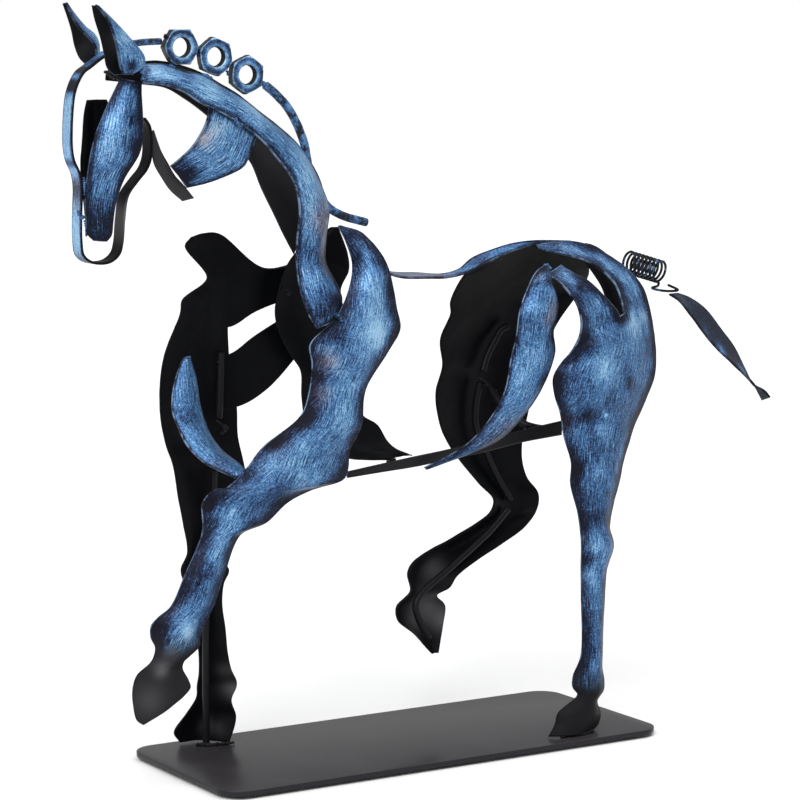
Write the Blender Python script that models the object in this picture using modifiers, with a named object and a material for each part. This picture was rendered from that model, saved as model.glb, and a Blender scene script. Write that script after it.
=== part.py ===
"""Sculpture of a prancing horse, welded from bent sheet steel, rod, nuts and a spring, on a flat plate.

The horse faces -X, its left side is at -Y and the floor under the rubber pads is z = 0.
Outlines are millimetre points measured from the middle of the plate's underside.
"""

import math

import bmesh
import bpy
from mathutils import Matrix, Vector

MM = 0.001

# Base plate and its rubber pads.
PLATE_LENGTH = 240
PLATE_WIDTH = 100
PLATE_THICK = 2.5
PLATE_CORNER = 12
PAD_RADIUS = 9
PAD_THICK = 1.5
PAD_INSET = 14

# Stock that the horse is made of, and the gap that every joint keeps for its weld.
SHEET = 1.2
BAND_WIDTH = 9
ROD = 4
LEG_ROD = 3.4
THIN_ROD = 3
BELLY_THICK = 2
GAP = 0.3

# Mane nuts, thin hexagon nuts for a 10 mm thread.
NUT_FLATS = 15.5
NUT_THICK = 5
NUT_BORE = 8.5

# Tail spring.
WIRE = 1.3
COIL_OUTER = 12
COIL_LENGTH = 22
COIL_TURNS = 9
COIL_POINTS = 8

# The plate's middle is this far behind the middle of the whole outline in plan.
PLATE_X = -25.5
SOLE = PLATE_THICK + 2 * GAP
SET_DOWN = Vector((PLATE_X, 0, PAD_THICK)) * MM

NEAR = -1
FAR = 1


def collection(name, hidden=False):
    found = bpy.data.collections.new(name)
    bpy.context.scene.collection.children.link(found)
    found.hide_render = hidden
    return found


for old in list(bpy.data.objects):
    bpy.data.objects.remove(old)

HORSE = collection("metal_horse_sculpture")
CUTTERS = collection("cutters", hidden=True)


def principled(name, colour, metallic, roughness):
    made = bpy.data.materials.new(name)
    made.use_nodes = True
    shader = made.node_tree.nodes["Principled BSDF"]
    shader.inputs["Base Color"].default_value = (*colour, 1)
    shader.inputs["Metallic"].default_value = metallic
    shader.inputs["Roughness"].default_value = roughness
    return made


BLUE = principled("blue_patina", (0.10, 0.22, 0.48), 0.6, 0.4)
BLACK = principled("black_paint", (0.02, 0.02, 0.022), 0.3, 0.45)
STEEL = principled("dark_steel", (0.06, 0.06, 0.07), 0.9, 0.4)
RUBBER = principled("rubber", (0.01, 0.01, 0.01), 0, 0.7)


def add_object(name, data, material, group=HORSE):
    made = bpy.data.objects.new(name, data)
    made.location = SET_DOWN
    data.materials.append(material)
    group.objects.link(made)
    return made


def from_bmesh(name, shape, material, group=HORSE):
    bmesh.ops.recalc_face_normals(shape, faces=shape.faces)
    mesh = bpy.data.meshes.new(name)
    shape.to_mesh(mesh)
    shape.free()
    return add_object(name, mesh, material, group)


def smooth(points, steps):
    """A curve through the points, with this many steps between each two of them."""
    points = [Vector(p) for p in points]
    if len(points) < 3:
        return [points[0].lerp(points[-1], i / steps) for i in range(steps + 1)]
    spans = [max((b - a).length, 1e-3) ** 0.5 for a, b in zip(points, points[1:])]
    slopes = [(b - a) / s for a, b, s in zip(points, points[1:], spans)]
    tangents = [slopes[0]]
    for i in range(1, len(slopes)):
        before, after = spans[i - 1], spans[i]
        tangents.append((slopes[i - 1] * after + slopes[i] * before) / (before + after))
    tangents.append(slopes[-1])
    curve = [points[0]]
    for i, span in enumerate(spans):
        for k in range(1, steps + 1):
            t = k / steps
            curve.append(
                points[i] * (2 * t**3 - 3 * t**2 + 1)
                + tangents[i] * (t**3 - 2 * t**2 + t) * span
                + points[i + 1] * (3 * t**2 - 2 * t**3)
                + tangents[i + 1] * (t**3 - t**2) * span
            )
    return curve


def curved(first, last, side, columns=3, bow=1):
    """A row across a strip, bowed outward between its two edges."""
    first, last = Vector(first), Vector(last)
    width = (last - first).length
    rise = bow * min(0.25 * width, 3 + 0.1 * width)
    row = []
    for i in range(columns):
        share = i / (columns - 1)
        out = side * rise * (1 - (2 * share - 1) ** 2)
        row.append(first.lerp(last, share) + Vector((0, out, 0)))
    return row


def runs(column):
    """The unbroken stretches of a column, as (first row, points)."""
    found, start = [], None
    for i, point in enumerate([*column, None]):
        if point is not None and start is None:
            start = i
        if point is None and start is not None:
            found.append((start, column[start:i]))
            start = None
    return found


def sheet(name, rows, material, thick=SHEET, along=2, across=2, holes=()):
    """A bent sheet through rows of points. A point of None has no metal, and holes lists open (row, column) cells."""
    width = max(len(row) for row in rows)
    rows = [list(row) + [None] * (width - len(row)) for row in rows]
    fine = {}
    for c in range(width):
        for start, points in runs([row[c] for row in rows]):
            for k, point in enumerate(smooth(points, along)):
                fine[start * along + k, c] = point
    shape = bmesh.new()
    corners = {}
    for r in range((len(rows) - 1) * along + 1):
        here = [fine.get((r, c)) for c in range(width)]
        for start, points in runs(here):
            if len(points) < 2:
                continue
            for k, point in enumerate(smooth(points, across)):
                corners[r, start * across + k] = shape.verts.new(point * MM)
    for (r, c), corner in corners.items():
        ring = [corner, corners.get((r, c + 1)), corners.get((r + 1, c + 1)), corners.get((r + 1, c))]
        if None not in ring and (r // along, c // across) not in holes:
            shape.faces.new(ring)
    loose = [v for v in shape.verts if not v.link_faces]
    bmesh.ops.delete(shape, geom=loose, context="VERTS")
    made = from_bmesh(name, shape, material)
    solid = made.modifiers.new("thickness", "SOLIDIFY")
    solid.thickness = thick * MM
    solid.offset = 0
    solid.use_even_offset = True
    return made


def rod(name, points, material, thick=ROD, steps=2, sides=2):
    data = bpy.data.curves.new(name, "CURVE")
    data.dimensions = "3D"
    data.bevel_depth = thick / 2 * MM
    data.bevel_resolution = sides
    data.use_fill_caps = True
    line = data.splines.new("POLY")
    path = smooth(points, steps)
    line.points.add(len(path) - 1)
    for target, point in zip(line.points, path):
        target.co = (*(point * MM), 1)
    return add_object(name, data, material)


# Base plate: one flat plate with rounded corners.
plate = bmesh.new()
bmesh.ops.create_cube(plate, size=1)
bmesh.ops.scale(plate, vec=Vector((PLATE_LENGTH, PLATE_WIDTH, PLATE_THICK)) * MM, verts=plate.verts)
bmesh.ops.translate(plate, vec=Vector((0, 0, PLATE_THICK / 2)) * MM, verts=plate.verts)
upright = [e for e in plate.edges if abs(e.verts[0].co.z - e.verts[1].co.z) > PLATE_THICK * MM / 2]
bmesh.ops.bevel(plate, geom=upright, offset=PLATE_CORNER * MM, segments=6, profile=0.5, affect="EDGES")
from_bmesh("base_plate", plate, BLACK)

# Four round rubber pads stuck under the plate's corners.
for end, x in (("front", -1), ("rear", 1)):
    for side, y in (("near", NEAR), ("far", FAR)):
        pad = bmesh.new()
        spot = Vector((x * (PLATE_LENGTH / 2 - PAD_INSET), y * (PLATE_WIDTH / 2 - PAD_INSET), 0))
        spot.z = -(PAD_THICK + GAP) / 2
        bmesh.ops.create_cone(
            pad,
            cap_ends=True,
            segments=20,
            radius1=PAD_RADIUS * MM,
            radius2=PAD_RADIUS * MM,
            depth=(PAD_THICK - GAP) * MM,
            matrix=Matrix.Translation(spot * MM),
        )
        from_bmesh(f"foot_pad_{end}_{side}", pad, RUBBER)

# Near foreleg: shoulder, forearm, knee and raised hoof bent from one sheet.
NEAR_FORELEG = [
    ((-36, -4, 249), (-35, -4, 249)),
    ((-37, -13, 242), (-30.5, -15, 247)),
    ((-38, -20, 233.5), (-28, -22, 242)),
    ((-41.5, -25, 226), (-24, -26, 234.5)),
    ((-47, -28, 216.5), (-21, -28, 223)),
    ((-53, -28, 208), (-19, -28, 212.5)),
    ((-64.5, -27, 198), (-17, -28, 203)),
    ((-63.5, -27, 189), (-23.5, -28, 192.5)),
    ((-64.5, -26, 176.5), (-35.5, -28, 176)),
    ((-69.5, -27, 166), (-38.5, -29, 159.5)),
    ((-90, -28, 153), (-45, -29, 148)),
    ((-98.5, -28, 144), (-45.5, -29, 141.5)),
    ((-109, -28, 136), (-47.5, -29, 136)),
    ((-115.5, -28, 135.5), (-64, -28, 132)),
    ((-120.5, -28, 130.5), (-77, -28, 127)),
    ((-120.5, -28, 119), (-88, -28, 119)),
    ((-121.5, -27, 113.5), (-101.5, -28, 114.5)),
    ((-129.5, -27, 98), (-110.5, -28, 95)),
    ((-136.5, -27, 85), (-114.5, -27, 84)),
    ((-142.5, -27, 81), (-117.5, -27, 79)),
    ((-145.9, -26.5, 77.5), (-120.3, -27, 74)),
    ((-146, -26, 72.5), (-121.3, -26.5, 69.5)),
    ((-143.8, -26, 67.5), (-121.5, -26, 65.5)),
    ((-144.4, -26, 63.5), (-126.5, -26, 61.5)),
    ((-146, -25.5, 60.5), (-129.3, -26, 59.5)),
    ((-152.3, -25, 55.5), (-129.6, -25, 56)),
    ((-154.6, -25, 49), (-126.7, -25, 50.5)),
    ((-154.2, -25, 41), (-125.6, -25, 46.8)),
    ((-152.6, -25, 35), (-129, -25, 43.5)),
    ((-149.5, -25, 32.6), (-136, -25, 39.5)),
]
FLAT_HOOF = 5
near_rows = [curved(a, b, NEAR) for a, b in NEAR_FORELEG[:-FLAT_HOOF]]
near_rows += [curved(a, b, NEAR, bow=0.3) for a, b in NEAR_FORELEG[-FLAT_HOOF:]]
sheet("near_foreleg", near_rows, BLUE, along=1)

# Far foreleg: a long sheet from the chest to the plate, with two arms that reach back to the shoulder.
FAR_FORELEG = [
    [(-99, 21, 245), (-91.5, 23, 246.3), (-83, 24, 245.8), (-57, 28, 228.5), (-38, 28, 230.5)],
    [(-102.8, 20, 241), (-91, 24.5, 238), (-80.5, 25.5, 238), (-57, 29, 226), (-37.5, 29, 227)],
    [(-90, 23, 225.5), (-82.5, 27, 224.5), (-77, 27, 223.5), (-57, 30, 221.5), (-36.5, 30, 221.5)],
    [(-103, 23, 216), (-87, 30, 214), (-75.5, 29, 212.5), (-59, 31, 214.5), (-38.5, 31, 216.5)],
    [(-103.5, 24, 210), (-87, 32, 205.5), (-75.5, 30, 201.5), (-60, 31, 208), (-39.5, 31, 214)],
    [(-111.5, 26, 188.5), (-90, 34, 188), (-74, 32, 188.5), (-60, 32, 196.5), (-39, 32, 207)],
    [(-113, 27, 168.5), (-88.5, 35, 164.5), (-70, 32, 163.5), (-53.5, 32, 171), (-34.5, 32, 188.5)],
    curved((-110, 28, 151), (-69.5, 32, 150), FAR),
    curved((-106, 28, 139.5), (-66.5, 32, 137), FAR),
    curved((-103.5, 28, 125), (-64.5, 31, 123.5), FAR),
    curved((-100.5, 29, 112), (-69, 30, 107.5), FAR),
    curved((-97, 31.5, 96.5), (-77.7, 31, 92), FAR),
    curved((-99.6, 33, 89), (-75.7, 30, 86.3), FAR),
    curved((-97.3, 34, 81.5), (-78.5, 30, 80.5), FAR),
    curved((-94, 35, 73.5), (-79, 31, 71), FAR),
    curved((-90.5, 37, 58.5), (-77.5, 31, 59), FAR),
    curved((-88, 38.5, 48), (-76, 31.5, 47), FAR),
    curved((-87, 40, 37), (-74, 32, 38.5), FAR),
    curved((-87.5, 41, 30.5), (-71, 32, 31), FAR),
    curved((-87.5, 42, 24.5), (-74, 32, 23.5), FAR),
    curved((-92.5, 43, 17), (-71.5, 32, 15.5), FAR),
    curved((-98.5, 44, 8.5), (-72.5, 32, 10), FAR),
    curved((-95, 44.8, SOLE), (-75, 32.5, SOLE), FAR),
]
sheet("far_foreleg", FAR_FORELEG, BLACK, along=1, holes={(4, 2), (4, 3)})

# Far shoulder: one leaf of sheet from the withers to a point on the belly bar.
FAR_SHOULDER = [
    ((-34, 5, 248), (-31, 4, 248)),
    ((-45, 13, 239), (-21, 12, 234)),
    ((-50.5, 17, 231), (-17, 18, 226)),
    ((-52.5, 22, 219), (-19, 22, 217)),
    ((-53.5, 24, 207), (-15, 24, 205)),
    ((-50.5, 24, 196), (-10, 24, 195)),
    ((-45, 24, 187), (-7, 24, 183)),
    ((-40.5, 23, 180), (-6, 23, 171)),
    ((-40.5, 22, 168), (-8.5, 22, 161)),
    ((-40, 20, 158), (-8, 20, 156.5)),
    ((-36.5, 17, 149), (-2, 17, 152)),
    ((-31, 13, 143), (1, 12, 144)),
    ((-24, 9, 139), (3, 8, 141)),
    ((-17, 5, 138), (7, 4.5, 139)),
    ((-3, 3, 137), (9, 3, 138)),
]
sheet("far_shoulder", [curved(a, b, FAR) for a, b in FAR_SHOULDER], BLACK, along=1)

# Chest strip: a narrow blue strip that crosses from the far foreleg to the near one.
CHEST_STRIP = [
    ((-106.5, 16, 190.5), (-103, 16, 191)),
    ((-112, 13, 182), (-101.5, 13, 181)),
    ((-115.5, 10, 174.5), (-101.5, 10, 171.5)),
    ((-117.5, 6, 167), (-101.5, 6, 164)),
    ((-116.5, 2, 160), (-99.5, 2, 155)),
    ((-115.5, -4, 153), (-96.5, -4, 148.5)),
    ((-110.5, -11, 145.5), (-93, -12, 144)),
    ((-99.5, -21, 138.5), (-94, -21, 142)),
]
sheet("chest_strip", [curved(a, b, NEAR) for a, b in CHEST_STRIP], BLUE)

# Neck: a near and a far crest that meet along the mane like a roof.
NEAR_CREST = [
    ((-135, -3, 324), (-140, -12, 316)),
    ((-125, -3, 324), (-130, -13, 315)),
    ((-116, -3, 321), (-121, -14, 312)),
    ((-106, -3, 319), (-113, -15, 307)),
    ((-96, -3, 314), (-104, -16, 303)),
    ((-87, -3, 309), (-95, -17, 298)),
    ((-77, -3, 302), (-85, -18, 291)),
    ((-67, -3, 295), (-76, -18, 282)),
    ((-55, -3, 285), (-68, -18, 272)),
    ((-46, -3, 271), (-66, -19, 265)),
    ((-41, -4, 258), (-65, -19, 257)),
    ((-46, -10, 244), (-67, -20, 246)),
    ((-50, -17, 233), (-68, -21, 235)),
    ((-48, -24, 223), (-68, -24, 223)),
    ((-48, -28, 217), (-66, -27, 213)),
    ((-54, -29, 209), (-62, -29, 205)),
]
FAR_CREST = [
    ((-147, 3, 323), (-146, 12, 317)),
    ((-132, 3, 325), (-128, 13, 315)),
    ((-122, 3, 325), (-115, 14, 313)),
    ((-112, 3, 323), (-105, 15, 308)),
    ((-103, 3, 320), (-96, 15, 302)),
    ((-93, 3, 315), (-86, 15, 294)),
    ((-84, 3, 310), (-78, 15, 286)),
    ((-74, 3, 303), (-71, 15, 278)),
    ((-64, 3, 296), (-66, 14, 266)),
    ((-52, 3, 286), (-61, 13, 256)),
    ((-42, 3, 272), (-56, 11, 244.5)),
    ((-37.5, 3, 258), (-52.5, 8, 236)),
]
sheet("near_crest", [curved(a, b, NEAR) for a, b in NEAR_CREST], BLUE)
sheet("far_crest", [curved(a, b, FAR) for a, b in FAR_CREST], BLACK, along=1)

# Throat: a flap under the near crest, and a narrow bar from the jaw down to the flap's corner.
THROAT_FLAP = [
    ((-107, -12.8, 306.5), (-83.5, -13.8, 292.5)),
    ((-109.5, -13.3, 298.5), (-88.5, -14.6, 282)),
    ((-111.5, -12, 293.5), (-90.5, -14, 278.5)),
    ((-114, -9, 288), (-97, -11, 274.5)),
    ((-117.5, -6, 283.5), (-106, -7, 271)),
    ((-122, -3, 279), (-114, -3, 269)),
]
THROAT_BAR = [
    [(-129.5, 0, 294.5), (-128.5, 0, 295)],
    [(-129.3, 0, 286), (-125, 0, 286)],
    [(-128.5, 0, 280), (-121.5, 0, 280)],
    [(-125, 0, 274), (-118, 0, 274.5)],
    [(-120.5, 0, 268), (-114.5, 0, 271)],
    [(-114.4, 0, 262.9), (-108.5, 0, 264.1)],
]
sheet("throat_flap", [curved(a, b, NEAR, bow=0.25) for a, b in THROAT_FLAP], BLUE)
sheet("throat_bar", THROAT_BAR, STEEL, across=1)

# Head band: one flat bar bent edgeways on round the face, muzzle and jaw.
HEAD_BAND = [
    (-151, 329.5),
    (-156, 326.5),
    (-161, 323),
    (-164, 321),
    (-167, 316.5),
    (-169, 311),
    (-170, 304),
    (-170.5, 296),
    (-170.5, 288),
    (-169.5, 282.5),
    (-167, 277),
    (-166, 271),
    (-166.5, 258),
    (-166.5, 247),
    (-165.5, 241),
    (-162, 238),
    (-156, 237),
    (-151.5, 238),
    (-148, 241),
    (-146.5, 246),
    (-145.5, 256),
    (-143.5, 266.5),
    (-138.5, 273),
    (-134, 278),
    (-132, 283),
    (-131.5, 290),
    (-132.5, 297),
    (-135, 300.5),
]
EDGE = BAND_WIDTH / 2
sheet("head_band", [[(x, -EDGE, z), (x, EDGE, z)] for x, z in HEAD_BAND], BLUE, across=1)

# Cheeks: a plate on each side of the band, edge on it.
CHEEK = EDGE + SHEET / 2 + 2 * GAP
NEAR_CHEEK = [
    ((-147.5, 0, 318), (-138, 1.5, 316)),
    ((-151.5, 0, 311), (-139, 3.5, 311)),
    ((-157, 0, 300.5), (-139, 4.5, 302.5)),
    ((-160.5, 0, 292.5), (-139, 4.5, 296)),
    ((-163, 0, 283), (-140.5, 4.5, 286)),
    ((-164.5, 0, 274), (-148.5, 4.5, 274)),
    ((-165.5, 0, 263), (-152.5, 4.5, 264)),
    ((-165, 0, 255.5), (-153.5, 3.5, 255.5)),
    ((-164.5, 0, 250.5), (-154, 2.5, 249.5)),
    ((-162, 1, 247.5), (-156, 1.5, 247)),
]
FAR_CHEEK = [
    ((-158, 0, 308.5), (-147.5, 2, 308.5)),
    ((-159.5, 0, 302), (-144, 3, 301.5)),
    ((-160.5, 0, 291), (-142.5, 4, 290.5)),
    ((-161.5, 0, 280), (-144, 4, 279.5)),
    ((-160.5, 0, 267), (-147.5, 4, 266)),
    ((-159.5, 0, 255), (-151.5, 2, 254.5)),
]


def cheek(outline, side):
    """Rows of a cheek. The middle number of each point is how far it stands off the band."""
    rows = []
    for pair in outline:
        first, last = [(x, side * (CHEEK + off), z) for x, off, z in pair]
        rows.append(curved(first, last, side))
    return rows


sheet("near_cheek", cheek(NEAR_CHEEK, NEAR), BLUE)
sheet("far_cheek", cheek(FAR_CHEEK, FAR), BLACK)

# Ears: each a small leaf folded along its rear crease.
NEAR_EAR = [
    [(-162.2, -12, 350), (-161.2, -12, 349.5), (-163.5, -11, 349.7)],
    [(-158.3, -15, 343.9), (-155, -12, 344.1), (-161.4, -9, 344.3)],
    [(-156.1, -17, 336.3), (-146.8, -12, 336.1), (-157.8, -7, 336.3)],
    [(-154.4, -17, 329.3), (-139.2, -12, 327.4), (-155.8, -6.5, 329.2)],
    [(-152.1, -14.5, 323.2), (-139, -11, 323.8), (-154.5, -7, 322.7)],
    [(-149.7, -12, 320.1), (-144.8, -11, 320), (-152.1, -9, 319.7)],
]
FAR_EAR = [
    [(-164.5, 13, 351), (-164, 13.5, 351), (-165.5, 14, 350.5)],
    [(-163.5, 10, 346), (-160.5, 13, 346), (-162.5, 16, 345.5)],
    [(-160.5, 8, 340), (-155, 13, 340), (-159.5, 18, 339)],
    [(-156, 7.5, 335.5), (-151.5, 12, 337), (-158, 18, 332)],
    [(-153, 7.5, 331.5), (-150, 11, 333.5), (-157, 15, 326.5)],
    [(-152, 9, 326), (-149.5, 11, 327), (-154.5, 12, 323)],
]
sheet("near_ear", NEAR_EAR, BLUE)
sheet("far_ear", FAR_EAR, BLUE)

# Mane: a short rod from the poll, three nuts in a row, and a curling rod over the neck.
# Each nut's turn and the way to the next nut are in degrees from +X towards +Z.
NUT_CORNER = NUT_FLATS / math.sqrt(3)
NUT_TURNS = (0, -21, -35)
NUT_LEADS = (-14, -27)
NUTS = [(-115, 331.5)]


def reach(turn, lead):
    """How far a nut at this turn reaches along this direction."""
    off = (lead - turn + 30) % 60 - 30
    return NUT_CORNER * math.cos(math.radians(off))


for i, lead in enumerate(NUT_LEADS):
    step = reach(NUT_TURNS[i], lead) + reach(NUT_TURNS[i + 1], lead + 180) + GAP
    x, z = NUTS[-1]
    NUTS.append((x + step * math.cos(math.radians(lead)), z + step * math.sin(math.radians(lead))))

MANE_ROD_FRONT = [
    (-145.5, 0, 332.5),
    (-135.5, 0, 333.5),
    (-130, 0, 333.8),
    (NUTS[0][0] - NUT_CORNER - GAP, 0, 334),
]
MANE_ROD_REAR = [
    (NUTS[-1][0] + NUT_CORNER + 3 * GAP, 0, 314.3),
    (-66, 0, 309.9),
    (-61, 0, 305),
    (-57, 0, 299.5),
    (-53.8, 0, 293.4),
    (-51.5, 0, 287.7),
    (-49.8, 0, 280),
    (-48, 0, 271),
    (-44, 0, 264),
    (-39, 0, 258),
    (-32, 0, 254),
    (-26, 0, 252),
    (-18, 0, 250),
]
rod("mane_rod_front", MANE_ROD_FRONT, STEEL, thick=THIN_ROD)
rod("mane_rod_rear", MANE_ROD_REAR, STEEL)


def prism(name, radius, depth, sides, x, z, turn, group, material):
    """A straight prism with its axis along Y."""
    shape = bmesh.new()
    stand = Matrix.Translation(Vector((x, 0, z)) * MM) @ Matrix.Rotation(math.radians(-turn), 4, "Y")
    stand = stand @ Matrix.Rotation(math.pi / 2, 4, "X") @ Matrix.Rotation(math.pi / 2, 4, "Z")
    bmesh.ops.create_cone(
        shape,
        cap_ends=True,
        segments=sides,
        radius1=radius * MM,
        radius2=radius * MM,
        depth=depth * MM,
        matrix=stand,
    )
    return from_bmesh(name, shape, material, group)


for number, ((x, z), turn) in enumerate(zip(NUTS, NUT_TURNS), 1):
    nut = prism(f"mane_nut_{number}", NUT_CORNER, NUT_THICK, 6, x, z, turn, HORSE, STEEL)
    bore = prism(f"nut_bore_{number}", NUT_BORE / 2, 2 * NUT_THICK, 24, x, z, 0, CUTTERS, STEEL)
    bore.display_type = "WIRE"
    cut = nut.modifiers.new("bore", "BOOLEAN")
    cut.operation = "DIFFERENCE"
    cut.solver = "EXACT"
    cut.object = bore

# Back strip: a flat strip that lies level behind the withers, twists and ends on the croup.
BACK_STRIP = [
    [(-27, -9, 231), (-27, -20, 230)],
    [(-17, 1, 230), (-20, -11, 229)],
    [(-10, 5, 228), (-10, -7, 226)],
    [(-1.5, 6, 225.5), (-2, -6, 224)],
    [(12.5, 6, 224.5), (12.5, -5, 223)],
    [(25, 4, 223.5), (25.5, -2, 222.5)],
    [(34.5, 3, 225.5), (35, -3, 224)],
    [(42, 3, 230.5), (43.5, -4, 227)],
    [(52, 2, 234), (55, -3.5, 231.5)],
    [(64, 0.6, 237), (67.5, -2, 234.5)],
    [(77, 0.4, 238), (78, -0.3, 236)],
    [(98, 0.4, 237), (98, 0, 236)],
]
sheet("back_strip", BACK_STRIP, BLUE)

# Near hind leg: croup, haunch, hock and hoof from one sheet, slit at the top into two strips.
NEAR_HIND_LEG = [
    [(76, -2.2, 236), (77, -3, 234), None, None],
    [(85, -2.2, 237), (84, -5, 232), None, None],
    [(96, -2.2, 237), (92, -7, 230), (80, -17, 227), (70, -20, 223)],
    [(107, -3, 234.5), (99, -9, 228), (84, -20, 224), (73, -25, 220)],
    [(119, -4, 228.5), (106, -12, 224), (91, -23, 220), (76, -29, 215)],
    [(127.5, -7.5, 221.5), (112, -16, 217), (97, -26, 214), (79, -32, 209)],
    [(134, -10, 213), (112, -21, 211), (103, -27, 208), (80, -34, 201)],
    [(136, -13, 203), (111, -26, 203), (107, -28, 202), (79, -34, 194)],
    [(136.5, -16, 191), (111, -31, 191), (90, -37, 190), (75, -33, 187)],
    [(135.5, -19, 180.5), (109, -33, 182), (86, -38, 183), (71, -31, 182)],
    [(132.5, -22, 170.5), (105, -35, 173), (82, -39, 175), (67, -30, 175)],
    [(126.5, -24, 160.5), (101, -36, 163), (80, -39, 165), (68, -30, 166)],
    curved((117.5, -26, 147), (71, -30, 158), NEAR, 4),
    curved((111, -28, 134), (73.5, -30, 145.5), NEAR, 4),
    curved((107, -29, 122.5), (77, -31, 133.5), NEAR, 4),
    curved((103, -30, 112), (76, -32, 123.5), NEAR, 4),
    curved((100, -31, 100.5), (79.5, -33, 109.5), NEAR, 4),
    curved((102, -31.5, 91), (81, -34, 96), NEAR, 4),
    curved((97.5, -32, 79.5), (81, -34, 82.5), NEAR, 4),
    curved((96, -32.5, 65), (81, -34.5, 68), NEAR, 4),
    curved((94, -34, 32), (80, -36, 40), NEAR, 4),
    curved((95, -34, 26), (75.5, -36, 30.5), NEAR, 4),
    curved((94.5, -34.5, 21.5), (75, -36.5, 25.5), NEAR, 4),
    curved((90.5, -35, 16.5), (77.5, -37, 21.5), NEAR, 4),
    curved((92.5, -35, 10), (65.5, -38, 14), NEAR, 4),
    curved((91, -35.5, 5.5), (63.5, -38.5, 9), NEAR, 4),
    curved((88.5, -35.6, SOLE), (59.5, -38.9, SOLE + 0.3), NEAR, 4),
]
SLIT = {(row, 1) for row in range(2, 7)}
sheet("near_hind_leg", NEAR_HIND_LEG, BLUE, along=1, holes=SLIT)

# Far hind leg: haunch, hock and raised hoof from one sheet.
FAR_HIND_LEG = [
    [(47.5, 4.5, 225.5), (71, 4, 235.8), (102, 4.2, 230.5)],
    [(43, 10, 222), (78, 16, 222), (114.7, 9, 223.3)],
    [(40, 18, 209), (81, 26, 208), (119.5, 18, 214.5)],
    [(42, 21, 202), (80, 30, 198), (115.5, 22, 206)],
    [(38, 24, 190), (78, 34, 186), (108.4, 27, 193)],
    [(40, 25, 177), (76, 36, 173), (102, 29, 178)],
    [(37, 26, 165), (73, 37, 161), (97, 30, 162)],
    [(38, 27, 155), (70, 37, 151), (94, 31, 148)],
    [(42, 28, 144), (71, 37, 139), (91, 31, 136)],
    [(52, 28, 129), (76, 37, 125), (91, 31, 126)],
    [(63, 28, 117), (83, 36, 115), (94, 31, 117)],
    [(72, 28, 108), (91, 36, 106), (101, 31, 108)],
    [(70, 28, 102), (90, 36, 98), (100, 31, 100)],
    curved((62, 28, 97), (92, 30, 92), FAR),
    curved((48, 28, 91), (79, 30, 85), FAR),
    curved((35, 28, 86), (64, 30, 78), FAR),
    curved((25, 28, 81), (51, 29, 71), FAR),
    curved((22, 28, 76), (47, 29, 66), FAR),
    curved((23, 27, 67), (39, 28, 63), FAR),
    curved((15, 27, 60), (43, 27, 58), FAR),
    curved((15, 26, 54), (42, 27, 49), FAR),
    curved((24.5, 26, 46), (40, 26, 42), FAR),
    curved((34.5, 25, 35), (38, 25, 35), FAR),
]
sheet("far_hind_leg", FAR_HIND_LEG, BLACK, along=1)

# Rump strip: it follows the near hind leg's rear strip on the far side, from the croup down behind the tail.
RUMP_STRIP = [
    ((101, 3, 235.5), (105.5, 9, 231.5)),
    ((113, 3.5, 234), (111.5, 11, 227)),
    ((125.5, 5, 227.5), (120, 13, 219.5)),
    ((137.5, 7.5, 220), (127.5, 15, 211)),
    ((145.5, 8, 211), (132, 16, 201)),
    ((147.5, 8, 202), (135.5, 17, 192.5)),
]
sheet("rump_strip", [curved(a, b, FAR) for a, b in RUMP_STRIP], BLACK)

# Near flank: a long leaf from the croup down to a point on the belly bar.
NEAR_FLANK = [
    ((69, -22, 228.7), (69.5, -22, 227.5)),
    ((60, -25, 225), (69, -26, 219)),
    ((54, -27, 218), (70, -29, 212)),
    ((49, -28, 208), (69, -30, 205)),
    ((47, -28, 196), (67, -30, 197)),
    ((44, -28, 185), (68, -30, 187)),
    ((41, -28, 171), (61, -30, 171)),
    ((36, -26, 160), (51, -28, 157)),
    ((28, -21, 148), (41, -22, 146)),
    ((21, -13, 140), (29, -13, 139)),
    ((11, -4, 133), (12, -4, 132)),
]
sheet("near_flank", [curved(a, b, NEAR) for a, b in NEAR_FLANK], BLUE)

# Belly bar: a strip on edge between the fore and hind legs, with a bent rod to the far haunch.
BELLY_BAR = [
    ((-30, -2, 134), (-30, -2, 131)),
    ((-11, -1, 136), (-11, -1, 132)),
    ((9, 0, 138), (9, 0, 133)),
    ((28, 0, 140), (28, 0, 135)),
    ((48, 0, 143), (48, 0, 137)),
    ((69, 0, 146), (69, 0, 140)),
    ((93, 0, 149), (93, 0, 142)),
]
sheet("belly_bar", BELLY_BAR, STEEL, thick=BELLY_THICK, along=1, across=1)
BELLY_ROD = [
    (69.5, 27.5, 163.5),
    (69.5, 20, 157.5),
    (71, 14, 153.5),
    (75.5, 10, 148.5),
    (78.5, 6, 146.5),
    (85.5, 5, 145),
    (96, 4, 145.5),
]
rod("belly_rod", BELLY_ROD, STEEL)

# Rods welded inside the far legs.
FAR_RODS = {
    "far_foreleg_rod_upper": [(-80, 28.5, 190), (-80, 29.5, 174.5), (-80.5, 30, 159)],
    "far_foreleg_rod_lower": [(-83, 30.5, 134.5), (-83, 31, 125.5), (-86.5, 33, 66), (-85.5, 36, SOLE)],
    "far_hind_rod_upper": [
        (79.5, 26.5, 194),
        (76, 27.5, 192.5),
        (73, 28.5, 187.5),
        (68.5, 29, 179.5),
        (65.5, 28.5, 172),
    ],
    "far_hind_rod_middle": [
        (65, 30, 166.5),
        (63.5, 31, 156.5),
        (63, 31, 147.5),
        (66, 31, 138),
        (71, 31, 128.5),
        (76.5, 31, 118),
        (83.5, 30, 106.5),
    ],
    "far_hind_rod_lower": [
        (81, 28.5, 102.5),
        (71, 28.5, 93),
        (47, 28, 76.5),
        (28, 26.5, 64.5),
        (25, 25.5, 59.5),
        (27.5, 25, 51),
        (32, 24, 43),
    ],
}
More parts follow.
